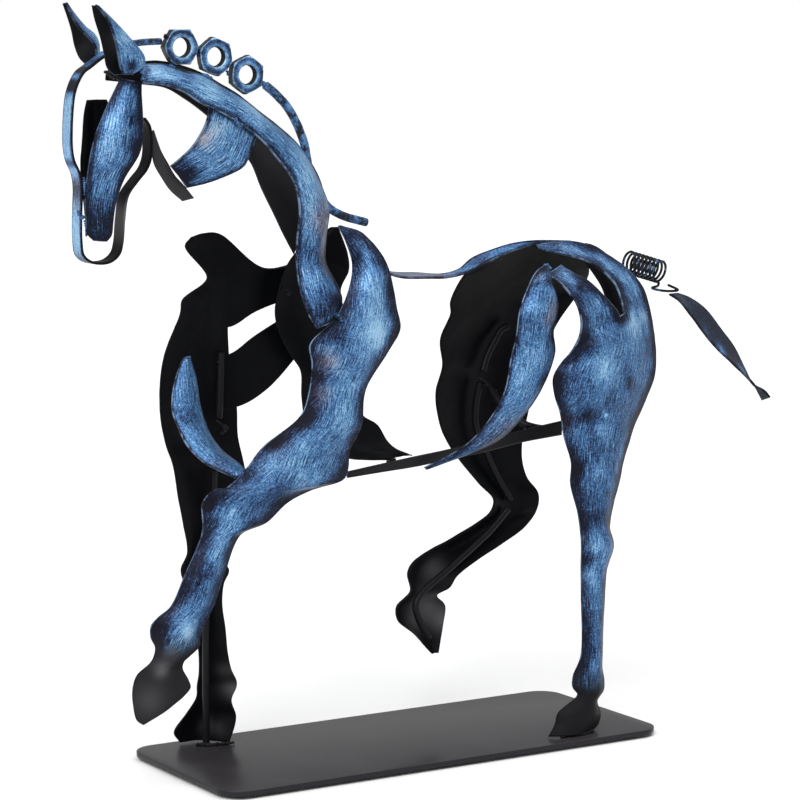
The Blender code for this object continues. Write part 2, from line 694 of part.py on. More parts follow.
for name, points in FAR_RODS.items():
    rod(name, points, STEEL, thick=LEG_ROD)

# Tail: a wound spring whose last turn hooks a ribbon of sheet. The hook's points start at the coil's end.
COIL_START = Vector((131.5, 0, 225.3))
COIL_AXIS = Vector((0.96, 0, -0.28)).normalized()
COIL_UP = Vector((0.28, 0, 0.96)).normalized()
HOOK = [(-0.4, 0, -1.4), (-4.1, 0, -2.4), (4, 0, -4.3), (12, 0, -4.2), (5.8, 0, -1.4)]
ring = (COIL_OUTER - WIRE) / 2
coil = []
for i in range(COIL_TURNS * COIL_POINTS + 1):
    turn = 2 * math.pi * i / COIL_POINTS
    along = COIL_LENGTH * i / (COIL_TURNS * COIL_POINTS)
    out = COIL_UP * math.cos(turn + math.pi) + Vector((0, 1, 0)) * math.sin(turn + math.pi)
    coil.append(COIL_START + COIL_AXIS * along + out * ring)
hook = [coil[-1] + Vector(p) for p in HOOK]
rod("tail_spring", coil + hook, STEEL, thick=WIRE, steps=1, sides=1)
TAIL_RIBBON = [
    [(156, -2, 208.2), (164, 2, 208)],
    [(160.5, -4, 205), (173.5, 4, 205)],
    [(166.5, -6, 197.5), (184, 5, 199)],
    [(174.5, -6, 188.5), (195, 6, 188)],
    [(183.5, -6, 179.5), (203.5, 6, 178.5)],
    [(193, -5, 172.5), (209.5, 5, 167.5)],
    [(203, -3, 165.5), (212, 2.5, 160.5)],
    [(211.5, -0.3, 159.5), (212.8, 0.3, 158.5)],
    [(217.5, 3, 154), (217, -2.5, 156)],
    [(221.5, 5, 150), (219.5, -4, 152.5)],
]
sheet("tail_ribbon", TAIL_RIBBON, BLUE)
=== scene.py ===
"""Dresses the welded steel horse: blued and blackened sheet, rod, nuts, spring and weld beads."""

import bisect
import math

import bmesh
import bpy
from mathutils import Matrix, Vector, kdtree, noise


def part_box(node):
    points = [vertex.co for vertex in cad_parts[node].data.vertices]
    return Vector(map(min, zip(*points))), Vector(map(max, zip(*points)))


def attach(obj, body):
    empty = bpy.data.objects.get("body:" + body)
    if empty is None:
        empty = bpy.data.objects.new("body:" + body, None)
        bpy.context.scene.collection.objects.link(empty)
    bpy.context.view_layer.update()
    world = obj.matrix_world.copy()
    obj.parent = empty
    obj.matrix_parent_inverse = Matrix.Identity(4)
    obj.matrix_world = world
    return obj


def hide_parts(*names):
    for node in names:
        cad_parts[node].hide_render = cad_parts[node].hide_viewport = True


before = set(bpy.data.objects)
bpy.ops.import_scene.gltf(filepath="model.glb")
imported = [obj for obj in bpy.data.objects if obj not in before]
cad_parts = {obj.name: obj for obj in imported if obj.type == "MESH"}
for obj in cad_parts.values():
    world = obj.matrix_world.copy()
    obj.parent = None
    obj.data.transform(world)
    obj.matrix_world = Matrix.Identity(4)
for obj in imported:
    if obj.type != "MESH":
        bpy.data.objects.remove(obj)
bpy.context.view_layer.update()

# Base plate: mild steel cut to 240 by 100 mm with round corners and its sharp edges broken,
# then sprayed satin black. Its top is a warm dark grey with patches of dust and fine rubbing, and its
# sides are painted darker as painted shade.
MM = 0.001


def box_of(node):
    """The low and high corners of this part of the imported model, in metres."""
    return [Vector(corner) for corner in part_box(node)]


plate_low, plate_high = box_of("base_plate")
# Every outline below is in millimetres from here, the middle of the plate's underside.
PLACE = Vector(((plate_low.x + plate_high.x) / 2, (plate_low.y + plate_high.y) / 2, plate_low.z))


def at(point):
    """A point of the horse's own outlines, in metres in the frame."""
    return PLACE + Vector(point) * MM


class Amount:
    """A number inside a material, so that shader maths is written as ordinary sums."""

    def __init__(self, finish, socket):
        self.finish = finish
        self.socket = socket

    def maths(self, operation, value, clamp=False):
        settings = {"operation": operation, "use_clamp": clamp}
        return self.finish.node("ShaderNodeMath", settings, {0: self, 1: value})

    def __add__(self, other):
        return self.maths("ADD", other)

    def __sub__(self, other):
        return self.maths("SUBTRACT", other)

    def __rsub__(self, other):
        return (self * -1) + other

    def __mul__(self, other):
        return self.maths("MULTIPLY", other)

    def __truediv__(self, other):
        return self.maths("DIVIDE", other)

    __radd__ = __add__
    __rmul__ = __mul__

    def held(self):
        """The same number kept between 0 and 1."""
        return self.maths("ADD", 0, clamp=True)

    def step(self, low, high):
        """0 below low, 1 above high and a smooth rise between."""
        sockets = {"Value": self, "From Min": low, "From Max": high}
        return self.finish.node("ShaderNodeMapRange", {"interpolation_type": "SMOOTHSTEP"}, sockets)


class Finish:
    """A node material under one Principled shader."""

    def __init__(self, name):
        self.material = bpy.data.materials.new(name)
        self.material.use_nodes = True
        self.tree = self.material.node_tree
        self.shader = self.tree.nodes["Principled BSDF"]

    def link(self, socket, value):
        if isinstance(value, Amount):
            self.tree.links.new(value.socket, socket)
        else:
            socket.default_value = value

    def node(self, kind, settings=None, sockets=None, out=0):
        made = self.tree.nodes.new(kind)
        for name, value in (settings or {}).items():
            if name == "stops":
                ramp = made.color_ramp
                while len(ramp.elements) < len(value):
                    ramp.elements.new(0.5)
                for element, (spot, colour) in zip(ramp.elements, value):
                    element.position = spot
                    element.color = (*colour, 1)
            else:
                setattr(made, name, value)
        for name, value in (sockets or {}).items():
            self.link(made.inputs[name], value)
        return Amount(self, made.outputs[out])

    def attribute(self, name):
        """A number that the mesh's points carry."""
        return self.node("ShaderNodeAttribute", {"attribute_name": name}, out="Fac")

    def place(self):
        """Where on the object the surface is, in metres."""
        return self.node("ShaderNodeTexCoord", out="Object")

    def height(self):
        """How high in the frame the surface is, in metres."""
        return self.node("ShaderNodeSeparateXYZ", {}, {0: self.place()}, "Z")

    def cloud(self, vector, scale, detail, roughness=0.5):
        """Soft random patches from 0 to 1. The scale is how many fit in one unit of the vector."""
        sockets = {"Vector": vector, "Scale": scale, "Detail": detail, "Roughness": roughness}
        return self.node("ShaderNodeTexNoise", {}, sockets, "Fac")

    def pair(self, first, second):
        """A place on a flat pattern, from the two numbers that give it."""
        return self.node("ShaderNodeCombineXYZ", {}, {0: first, 1: second})

    def ramp(self, stops, share):
        """The colour at this share of the way along the stops, each a place and a colour."""
        return self.node("ShaderNodeValToRGB", {"stops": stops}, {"Fac": share.held()}, "Color")

    def mix(self, share, first, second):
        """The first colour, going over to the second as the share goes from 0 to 1."""
        first, second = ((*c, 1) if isinstance(c, tuple) else c for c in (first, second))
        return self.node("ShaderNodeMix", {"data_type": "RGBA"}, {0: share, 6: first, 7: second}, 2)

    def bump(self, height, depth_mm, strength):
        """Small hills and hollows of this depth, where the height goes from 0 to 1."""
        sockets = {"Height": height, "Distance": depth_mm * MM, "Strength": strength}
        return self.node("ShaderNodeBump", {}, sockets, "Normal")

    def set(self, **sockets):
        """Feeds the shader's own sockets."""
        names = {"colour": "Base Color", "metal": "Metallic", "rough": "Roughness"}
        names |= {"normal": "Normal", "specular": "Specular IOR Level"}
        for name, value in sockets.items():
            self.link(self.shader.inputs[names[name]], value)


def settle(piece, slot, *nodes):
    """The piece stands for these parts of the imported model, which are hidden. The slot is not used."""
    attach(piece, "root")
    if nodes:
        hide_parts(*nodes)


def placed(name, data):
    """A new object in the scene that holds this mesh, path, lamp or lens."""
    thing = bpy.data.objects.new(name, data)
    bpy.context.scene.collection.objects.link(thing)
    return thing


def piece_from(shape, name, material, crease=None):
    """An object from a bmesh, smooth but for edges sharper than the crease. The bmesh is used up."""
    mesh = bpy.data.meshes.new(name)
    shape.to_mesh(mesh)
    shape.free()
    mesh.shade_smooth()
    if crease:
        mesh.set_sharp_from_angle(angle=math.radians(crease))
    mesh.materials.append(material)
    return placed(name, mesh)


def climb(edge):
    """How far an edge rises from one end to the other, in metres."""
    return abs(edge.verts[0].co.z - edge.verts[1].co.z)


def round_off(shape, edges, radius, steps):
    """Rounds these edges of a bmesh to this radius in millimetres, in so many steps."""
    bmesh.ops.bevel(shape, geom=edges, offset=radius * MM, segments=steps, profile=0.5, affect="EDGES")


PLATE_CORNER = 12
PLATE_EDGE = 0.35
PLATE_CREASE = 35
PLATE_SIDE_SHADE = (0.018, 0.017, 0.021)
PLATE_TOP = (0.028, 0.026, 0.029)
PLATE_DUST = (0.040, 0.037, 0.041)
plate_size = plate_high - plate_low
plate = bmesh.new()
bmesh.ops.create_cube(plate, size=1)
bmesh.ops.scale(plate, vec=plate_size, verts=plate.verts)
bmesh.ops.translate(plate, vec=(plate_low + plate_high) / 2, verts=plate.verts)
round_off(plate, [edge for edge in plate.edges if climb(edge) > plate_size.z / 2], PLATE_CORNER, 16)
round_off(plate, [edge for edge in plate.edges if climb(edge) < plate_size.z / 2], PLATE_EDGE, 3)
spray = Finish("satin_black_plate")
dust = spray.cloud(spray.place(), 28, 4, 0.6)
speck = spray.cloud(spray.place(), 1600, 2, 0.6)
# Below the top, the sides get a darker grey as painted shade.
lit_top = spray.height().step(plate_high.z - 0.4 * MM, plate_high.z)
dusty = spray.mix(dust.step(0.35, 0.75), PLATE_TOP, PLATE_DUST)
spray.set(
    colour=spray.mix(lit_top, PLATE_SIDE_SHADE, dusty),
    rough=0.24 + dust * 0.1,
    specular=0.15,
    normal=spray.bump(speck, 0.02, 0.35),
)
base_plate = piece_from(plate, "base_plate_black", spray.material, PLATE_CREASE)
settle(base_plate, "black_paint", "base_plate")

# Foot pads: four self-adhesive bumpers of black rubber under the plate's corners,
# each with a rounded foot that stands on the floor.
PAD_ROUND = 0.3
PAD_CREASE = 35
PAD_SIDES = 64
RUBBER_DARK = (0.006, 0.006, 0.006)
RUBBER_LIGHT = (0.014, 0.014, 0.014)
rubber = Finish("black_rubber")
rubber_grain = rubber.cloud(rubber.place(), 2600, 3)
rubber.set(
    colour=rubber.mix(rubber_grain, RUBBER_DARK, RUBBER_LIGHT),
    rough=0.6 + rubber_grain * 0.2,
    normal=rubber.bump(rubber_grain, 0.02, 0.4),
)
for spot in ("front_near", "front_far", "rear_near", "rear_far"):
    pad_low, pad_high = box_of(f"foot_pad_{spot}")
    pad = bmesh.new()
    radius = (pad_high.x - pad_low.x) / 2
    bmesh.ops.create_cone(
        pad,
        cap_ends=True,
        segments=PAD_SIDES,
        radius1=radius,
        radius2=radius,
        depth=pad_high.z - pad_low.z,
        matrix=Matrix.Translation((pad_low + pad_high) / 2),
    )
    round_off(pad, [edge for edge in pad.edges if climb(edge) < PAD_ROUND * MM], PAD_ROUND, 4)
    pad_piece = piece_from(pad, f"rubber_pad_{spot}", rubber.material, PAD_CREASE)
    settle(pad_piece, "rubber", f"foot_pad_{spot}")

# Near foreleg: shoulder, forearm, knee and raised hoof are one piece of 1.2 mm sheet, beaten hollow.
# Its outer face is dry-brushed blue over black, and its hoof and inner face stay black.
SHEET = 1.2
NEAR = -1
FAR = 1
GRID = 1.0
# A narrow strip is bowed by a quarter of its width, and a wide one by 3 mm and a tenth.
NARROW_BOW = 0.25
WIDE_BOW = 3
WIDE_BOW_SHARE = 0.1
# The hammer's marks are this long, and the edges are rounded over this share of the thickness.
LONG_DENT = 13
SHORT_DENT = 5
EDGE_INSET = 0.3
EDGE_HEIGHT = 0.27


def flow(points, counts):
    """A smooth line through the points, with counts[i] steps from point i to the next."""
    if len(points) < 3:
        steps = counts[0] if counts else 0
        return [points[0].lerp(points[-1], i / steps) for i in range(steps + 1)] if steps else points
    spans = [max((b - a).length, 1e-3) ** 0.5 for a, b in zip(points, points[1:])]
    slopes = [(b - a) / s for a, b, s in zip(points, points[1:], spans)]
    tangents = [slopes[0]]
    for before, after, first, second in zip(spans, spans[1:], slopes, slopes[1:]):
        tangents.append((first * after + second * before) / (before + after))
    tangents.append(slopes[-1])
    line = [points[0]]
    for i, (span, count) in enumerate(zip(spans, counts)):
        for k in range(1, count + 1):
            t = k / count
            line.append(
                points[i] * (2 * t**3 - 3 * t**2 + 1)
                + tangents[i] * (t**3 - 2 * t**2 + t) * span
                + points[i + 1] * (3 * t**2 - 2 * t**3)
                + tangents[i + 1] * (t**3 - t**2) * span
            )
    return line


def curved(first, last, side, columns=3, bow=1):
    """A row across a strip, bowed outward between its two edges."""
    first, last = Vector(first), Vector(last)
    width = (last - first).length
    rise = bow * min(NARROW_BOW * width, WIDE_BOW + WIDE_BOW_SHARE * width)
    row = []
    for i in range(columns):
        share = i / (columns - 1)
        out = side * rise * (1 - (2 * share - 1) ** 2)
        row.append(first.lerp(last, share) + Vector((0, out, 0)))
    return row


def bowed(outline, side, columns=3, bow=1):
    """Rows across a sheet: a row of two edges is bowed outward between them, a longer one is kept."""
    return [curved(*row, side, columns, bow) if len(row) == 2 else row for row in outline]


def stretches(line):
    """The unbroken stretches of a list with gaps, as (first place, items)."""
    found, start = [], None
    for i, item in enumerate([*line, None]):
        if item is not None and start is None:
            start = i
        if item is None and start is not None:
            found.append((start, line[start:i]))
            start = None
    return found


def counts_between(lines, spacing):
    """How many steps of about this spacing fit between each two neighbouring lines of points."""
    found = []
    for a, b in zip(lines, lines[1:]):
        gaps = [(q - p).length for p, q in zip(a, b) if p is not None and q is not None]
        found.append(max(1, math.ceil(max(gaps, default=spacing) / spacing)))
    return found


def surface(rows, holes, spacing):
    """(points, cells) of the smooth sheet through the rows, in millimetres, with (u, v) of each point."""
    width = max(len(row) for row in rows)
    rows = [[Vector(p) if p is not None else None for p in row] for row in rows]
    rows = [row + [None] * (width - len(row)) for row in rows]
    columns = [list(column) for column in zip(*rows)]
    along = counts_between(rows, spacing)
    across = counts_between(columns, spacing)
    row_at = [sum(along[:i]) for i in range(len(rows))]
    column_at = [sum(across[:i]) for i in range(width)]
    rails = {}
    for c, column in enumerate(columns):
        for start, points in stretches(column):
            line = flow(points, along[start : start + len(points) - 1])
            for k, point in enumerate(line):
                rails[row_at[start] + k, c] = point
    index, points, charts = {}, [], []
    travelled = 0
    last_middle = None
    for r in range(row_at[-1] + 1):
        here = [rails.get((r, c)) for c in range(width)]
        present = [p for p in here if p is not None]
        middle = sum(present, Vector()) / len(present)
        travelled += (middle - last_middle).length if last_middle else 0
        last_middle = middle
        for start, found in stretches(here):
            if len(found) < 2:
                continue
            line = flow(found, across[start : start + len(found) - 1])
            half = sum((b - a).length for a, b in zip(line, line[1:])) / 2
            covered = -half
            for k, point in enumerate(line):
                covered += (point - line[k - 1]).length if k else 0
                index[r, column_at[start] + k] = len(points)
                points.append(point)
                charts.append((covered, travelled))
    cells = []
    for (r, c), a in index.items():
        ring = [a, index.get((r, c + 1)), index.get((r + 1, c + 1)), index.get((r + 1, c))]
        coarse = (bisect.bisect_right(row_at, r) - 1, bisect.bisect_right(column_at, c) - 1)
        if None not in ring and coarse not in holes:
            cells.append(ring)
    used = sorted({corner for ring in cells for corner in ring})
    renamed = {old: new for new, old in enumerate(used)}
    cells = [[renamed[corner] for corner in ring] for ring in cells]
    return [points[k] for k in used], cells, [charts[k] for k in used]


def normals_of(points, cells):
    """The direction that the sheet faces at each of its points."""
    normals = [Vector() for _ in points]
    for a, b, c, d in cells:
        face = (points[c] - points[a]).cross(points[d] - points[b])
        for corner in (a, b, c, d):
            normals[corner] += face
    return [n.normalized() for n in normals]


def tone_at(point, spots):
    """How much lighter or darker the paint is here, by painted highlight and painted shade and by its own
    tone, and how much greyer. A spot is (x, z, radius, light, grey).
    """
    light = grey = 0
    for x, z, radius, more_painted_light, more_grey in spots:
        share = math.exp(-((point.x - x) ** 2 + (point.z - z) ** 2) / radius**2)
        light += more_painted_light * share
        grey += more_grey * share
    return light, grey


def border_of(cells):
    """The sides of the cells that no other cell shares."""
    sides = dict.fromkeys(side for ring in cells for side in zip(ring, ring[1:] + ring[:1]))
    return [(a, b) for a, b in sides if (b, a) not in sides]


def relaxed(points, cells, rounds):
    """The same sheet with its inner points drawn towards their neighbours, so that its folds are soft."""
    beside = [set() for _ in points]
    for ring in cells:
        for a, b in zip(ring, ring[1:] + ring[:1]):
            beside[a].add(b)
            beside[b].add(a)
    fixed = {corner for side in border_of(cells) for corner in side}
    inner = [k for k in range(len(points)) if k not in fixed]
    for _ in range(rounds):
        moved = [sum((points[n] for n in beside[k]), Vector()) / len(beside[k]) for k in inner]
        for k, point in zip(inner, moved):
            points[k] = Vector((points[k].x, point.y, points[k].z))
    return points


def mark(mesh, **marks):
    """Gives each point of the mesh these numbers, which its material reads by name."""
    for label, values in marks.items():
        mesh.attributes.new(label, "FLOAT", "POINT").data.foreach_set("value", values)


def leaf(
    name,
    rows,
    material,
    side=None,
    away=None,
    thick=SHEET,
    holes=(),
    dent=0.25,
    spots=(),
    spacing=GRID,
    soften=0,
):
    """A sheet with rounded edges through the rows. It faces the side given, or away from a point (x, z).

    The dent is how deep its hammer marks are, and soften is how many times its folds are eased.
    """
    points, cells, charts = surface(rows, holes, spacing)
    points = relaxed(points, cells, soften)
    normals = normals_of(points, cells)
    if away is None:
        facing = sum(n.y * side for n in normals)
    else:
        centre = Vector((away[0], 0, away[1]))
        facing = sum(n.dot(p - centre) for n, p in zip(normals, points))
    if facing < 0:
        cells = [ring[::-1] for ring in cells]
        normals = [-n for n in normals]
    seed = Vector((len(name), 3.7, sum(map(ord, name)) % 17))
    for k, n in enumerate(normals):
        wave = noise.noise(points[k] / LONG_DENT + seed)
        wave += 0.5 * noise.noise(points[k] / SHORT_DENT + seed)
        points[k] = points[k] + n * wave * dent
    border = border_of(cells)
    outward = {}
    for a, b in border:
        for corner in (a, b):
            out = (points[b] - points[a]).cross(normals[corner])
            outward[corner] = outward.get(corner, Vector()) + out.normalized()
    tree = kdtree.KDTree(len(outward))
    for corner in outward:
        tree.insert(points[corner], corner)
    tree.balance()
    rim = [tree.find(p)[2] for p in points]
    tones = [tone_at(p, spots) for p in points]

    total = len(points)
    verts = [p + n * thick / 2 for p, n in zip(points, normals)]
    verts += [p - n * thick / 2 for p, n in zip(points, normals)]
    source = list(range(total)) * 2
    outer = [1.0] * total + [0.0] * total
    rims = rim * 2
    upper, lower = {}, {}
    for corner, out in outward.items():
        inset = out.normalized() * (EDGE_INSET * thick)
        verts[corner] = verts[corner] - inset
        verts[total + corner] = verts[total + corner] - inset
        for store, share in ((upper, EDGE_HEIGHT), (lower, -EDGE_HEIGHT)):
            store[corner] = len(verts)
            verts.append(points[corner] + normals[corner] * thick * share)
            source.append(corner)
            outer.append(0.5)
            rims.append(0.0)
    faces = [list(ring) for ring in cells]
    faces += [[total + corner for corner in ring[::-1]] for ring in cells]
    for a, b in border:
        faces.append([b, a, upper[a], upper[b]])
        faces.append([upper[b], upper[a], lower[a], lower[b]])
        faces.append([lower[b], lower[a], total + a, total + b])
    mesh = bpy.data.meshes.new(name)
    mesh.from_pydata([at(v) for v in verts], [], faces)
    mesh.shade_smooth()
    mark(
        mesh,
        rim=rims,
        outer=outer,
        light=[tones[k][0] for k in source],
        grey=[tones[k][1] for k in source],
        across=[charts[k][0] for k in source],
        along=[charts[k][1] for k in source],
    )
    mesh.materials.append(material)
    return placed(name, mesh)


def fit_sheet(node, form, rows, material, slot, side=None, **how):
    """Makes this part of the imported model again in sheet, named for its form, with how it is made."""
    settle(leaf(f"{node}_{form}", rows, material, side, **how), slot, node)


NAVY_TO_PALE = (
    (0.0, (0.007, 0.009, 0.019)),
    (0.20, (0.019, 0.034, 0.083)),
    (0.38, (0.035, 0.088, 0.205)),
    (0.55, (0.068, 0.172, 0.360)),
    (0.75, (0.132, 0.295, 0.520)),
    (1.0, (0.330, 0.540, 0.740)),
)
SOOT_TO_LILAC = (
    (0.0, (0.010, 0.009, 0.014)),
    (0.35, (0.034, 0.029, 0.046)),
    (0.65, (0.110, 0.098, 0.135)),
    (1.0, (0.340, 0.310, 0.350)),
)
RUBBED_BLUE = (0.20, 0.31, 0.47)
PAINTED_SHEEN_GREY = (0.17, 0.168, 0.176)
HOLLOW_DARK = (0.0020, 0.0022, 0.0034)
HOLLOW_LIGHT = (0.0040, 0.0043, 0.0062)
# Brush marks in each millimetre across and along the sheet, straight and on the slant.
ACROSS_STRAIGHT = 3.2
ALONG_STRAIGHT = 0.13
SLANT_FINE = (2.6, 1.7)
SLANT_LONG = (0.17, 0.11)
# How many soft patches, crossing strokes, bristle grains and flecks there are to a metre.
PATCHES = 42
CROSSINGS = 45
GRAINS = 1150
FLECKS = 480
RUBS = 130
MIDDLE_TONE = 0.47
HOOF_FADE = 8


def patina(
    name,
    base=0.0,
    fade=9.0,
    stroke=1.0,
    plum=0.6,
    mottle=0.6,
    black_below=None,
    satin=0.008,
    worn_edge=0.7,
):
    """Blue dry-brushed over black on the outer face, black inside. The blue goes plum towards the rim.

    The base lightens all of it, and the dark rim fades out over so many millimetres. Stroke, plum,
    mottle and worn_edge are how much the brush marks, tints, patches and rubbed edges show. Below
    black_below, in millimetres up, the outer face is bare black lacquer of this satin grey.
    """
    paint = Finish(name)
    across, along, rim = (paint.attribute(label) for label in ("across", "along", "rim"))
    outer, painted_light_and_tone, spot_grey = (paint.attribute(label) for label in ("outer", "light", "grey"))
    place = paint.place()
    drift = (paint.cloud(place, CROSSINGS, 2) - 0.5) * 0.9
    straight = paint.pair((across + drift) * ACROSS_STRAIGHT, along * ALONG_STRAIGHT)
    slanted = paint.pair(
        across * SLANT_FINE[0] + along * SLANT_FINE[1],
        along * SLANT_LONG[1] - across * SLANT_LONG[0],
    )
    crossed = paint.cloud(place, CROSSINGS, 1).step(0.60, 0.72)
    hair = paint.cloud(straight, 1.0, 2) * (1 - crossed) + paint.cloud(slanted, 1.0, 2) * crossed
    patches = paint.cloud(place, PATCHES, 4, 0.55)
    grain = paint.cloud(place, GRAINS, 3, 0.7)
    fleck = paint.cloud(place, FLECKS, 2, 0.7).step(0.62, 0.68)
    edging = 1 - (rim + (patches - 0.5) * fade).step(0.3, fade)
    # The spots add painted highlights and painted shade to the blue, along with the paint's own lighter
    # and darker patches.
    light = MIDDLE_TONE + base + painted_light_and_tone * 1.45
    light += (patches - 0.5) * (1.5 * mottle)
    light += (hair - 0.5) * (1.8 * stroke)
    light += (grain - 0.5) * 1.35
    light = light - edging * 0.48 - fleck * 0.14
    greyish = (spot_grey + (patches - 0.62) * plum + edging * (0.75 * plum)).held()
    colour = paint.mix(greyish * 0.85, paint.ramp(NAVY_TO_PALE, light), paint.ramp(SOOT_TO_LILAC, light))
    worn = (1 - rim.step(0.1, 0.7)) * paint.cloud(place, RUBS, 3, 0.6).step(0.42, 0.58)
    colour = paint.mix(worn * worn_edge, colour, RUBBED_BLUE)
    painted = outer.step(0.3, 0.62) if worn_edge else outer.step(0.62, 0.95)
    if black_below is not None:
        ragged = paint.height() / MM + (patches - 0.5) * 9 + (hair - 0.5) * 12
        hoof_top = black_below + PLACE.z / MM
        painted = painted * ragged.step(hoof_top - HOOF_FADE, hoof_top + HOOF_FADE)
    dull, shiny = ((satin * grey, satin * grey, satin * blue) for grey, blue in ((0.8, 0.95), (1.3, 1.5)))
    lacquer = paint.mix(patches, dull, shiny)
    hollow = paint.mix(patches, HOLLOW_DARK, HOLLOW_LIGHT)
    # Where the spots lighten it, the bare black goes over to a grey that is painted sheen.
    bare = paint.mix(painted_light_and_tone.held(), paint.mix(outer, hollow, lacquer), PAINTED_SHEEN_GREY)
    paint.set(
        colour=paint.mix(painted, bare, colour),
        metal=painted * 0.3,
        rough=0.5 - painted * 0.1 + (hair - 0.5) * 0.2,
        specular=0.08,
        normal=paint.bump(hair * painted + grain * 0.3, 0.05, 0.5),
    )
    return paint.material


NEAR_FORELEG = [
    ((-36, -4, 249), (-35, -4, 249)),
    ((-37, -13, 242), (-30.5, -15, 247)),
    ((-38, -20, 233.5), (-28, -22, 242)),
    ((-41.5, -25, 226), (-24, -26, 234.5)),
    ((-47, -28, 216.5), (-21, -28, 223)),
    ((-53, -28, 208), (-19, -28, 212.5)),
    ((-64.5, -27, 198), (-17, -28, 203)),
    ((-63.5, -27, 189), (-23.5, -28, 192.5)),
    ((-64.5, -26, 176.5), (-35.5, -28, 176)),
    ((-69.5, -27, 166), (-38.5, -29, 159.5)),
    ((-90, -28, 153), (-45, -29, 148)),
    ((-98.5, -28, 144), (-45.5, -29, 141.5)),
    ((-109, -28, 136), (-47.5, -29, 136)),
    ((-115.5, -28, 135.5), (-64, -28, 132)),
    ((-120.5, -28, 130.5), (-77, -28, 127)),
    ((-120.5, -28, 119), (-88, -28, 119)),
    ((-121.5, -27, 113.5), (-101.5, -28, 114.5)),
    ((-129.5, -27, 98), (-110.5, -28, 95)),
    ((-136.5, -27, 85), (-114.5, -27, 84)),
    ((-142.5, -27, 81), (-117.5, -27, 79)),
    ((-145.9, -26.5, 77.5), (-120.3, -27, 74)),
    ((-146, -26, 72.5), (-121.3, -26.5, 69.5)),
    ((-143.8, -26, 67.5), (-121.5, -26, 65.5)),
    ((-144.4, -26, 63.5), (-126.5, -26, 61.5)),
    ((-146, -25.5, 60.5), (-129.3, -26, 59.5)),
    ((-152.3, -25, 55.5), (-129.6, -25, 56)),
    ((-154.6, -25, 49), (-126.7, -25, 50.5)),
    ((-154.2, -25, 41), (-125.6, -25, 46.8)),
    ((-152.6, -25, 35), (-129, -25, 43.5)),
    ((-149.5, -25, 32.6), (-136, -25, 39.5)),
]
HOOF_ROWS = 5
near_rows = bowed(NEAR_FORELEG[:-HOOF_ROWS], NEAR)
near_rows += bowed(NEAR_FORELEG[-HOOF_ROWS:], NEAR, bow=0.3)
# Spots of painted highlight and painted shade, together with patches that the brush left lighter, darker
# or bare, as (x, z, radius, light, grey).
FORELEG_SPOTS = [
    (-34, 203, 8, 0.42, 0), (-35, 221, 9, 0.3, 0), (-24, 220, 3.8, -0.22, 0),
    (-57, 190, 5.5, 0.14, 0.95), (-60, 175, 5.5, 0.1, 0.8), (-61, 183, 2.9, -0.2, 0),
    (-53, 201, 4.5, -0.2, 0), (-45, 178, 9, 0.16, 0), (-45, 182, 1.7, -0.25, 0),
    (-45, 179, 1.4, 0.2, 0), (-52, 163, 7, 0.12, 0), (-27, 191, 4.8, -0.08, 0.2),
    (-21, 200, 3.8, -0.2, 0.5), (-89, 146, 8, 0.12, 0), (-84, 156, 6, -0.3, 0.6),
    (-70, 166, 5, -0.25, 0.6), (-42, 152, 4.3, -0.25, 0.3), (-113, 115, 4.8, 0.24, 0),
    (-108, 124, 4.3, 0.18, 0), (-117, 108, 4.3, 0.2, 0), (-102, 134, 5.5, 0.1, 0),
    (-85, 133, 9, -0.12, 0.2), (-121, 98, 5, -0.1, 0),
    (-119, 131, 3.8, -0.5, 0.6), (-126, 116, 3.3, -0.35, 0.5), (-128, 99, 3.8, 0.1, 0),
    (-98, 119, 3.8, -0.1, 0.4), (-76, 128, 4.8, -0.05, 0.35), (-141, 57, 3.3, 0.55, 0),
    (-138, 66, 3.8, 0.2, 0), (-130, 74, 4.5, 0.3, 0), (-143, 77, 4.5, -0.5, 0.5),
    (-143, 69, 3.5, -0.3, 0.4), (-137, 88, 3, -0.25, 0.4), (-147, 44, 6.7, 0.18, 0),
]
foreleg_blue = patina("blued_foreleg", fade=10, black_below=70, satin=0.0155)
fit_sheet(
    "near_foreleg", "sheet", near_rows, foreleg_blue, "blue_patina", NEAR, spots=FORELEG_SPOTS, soften=8
)

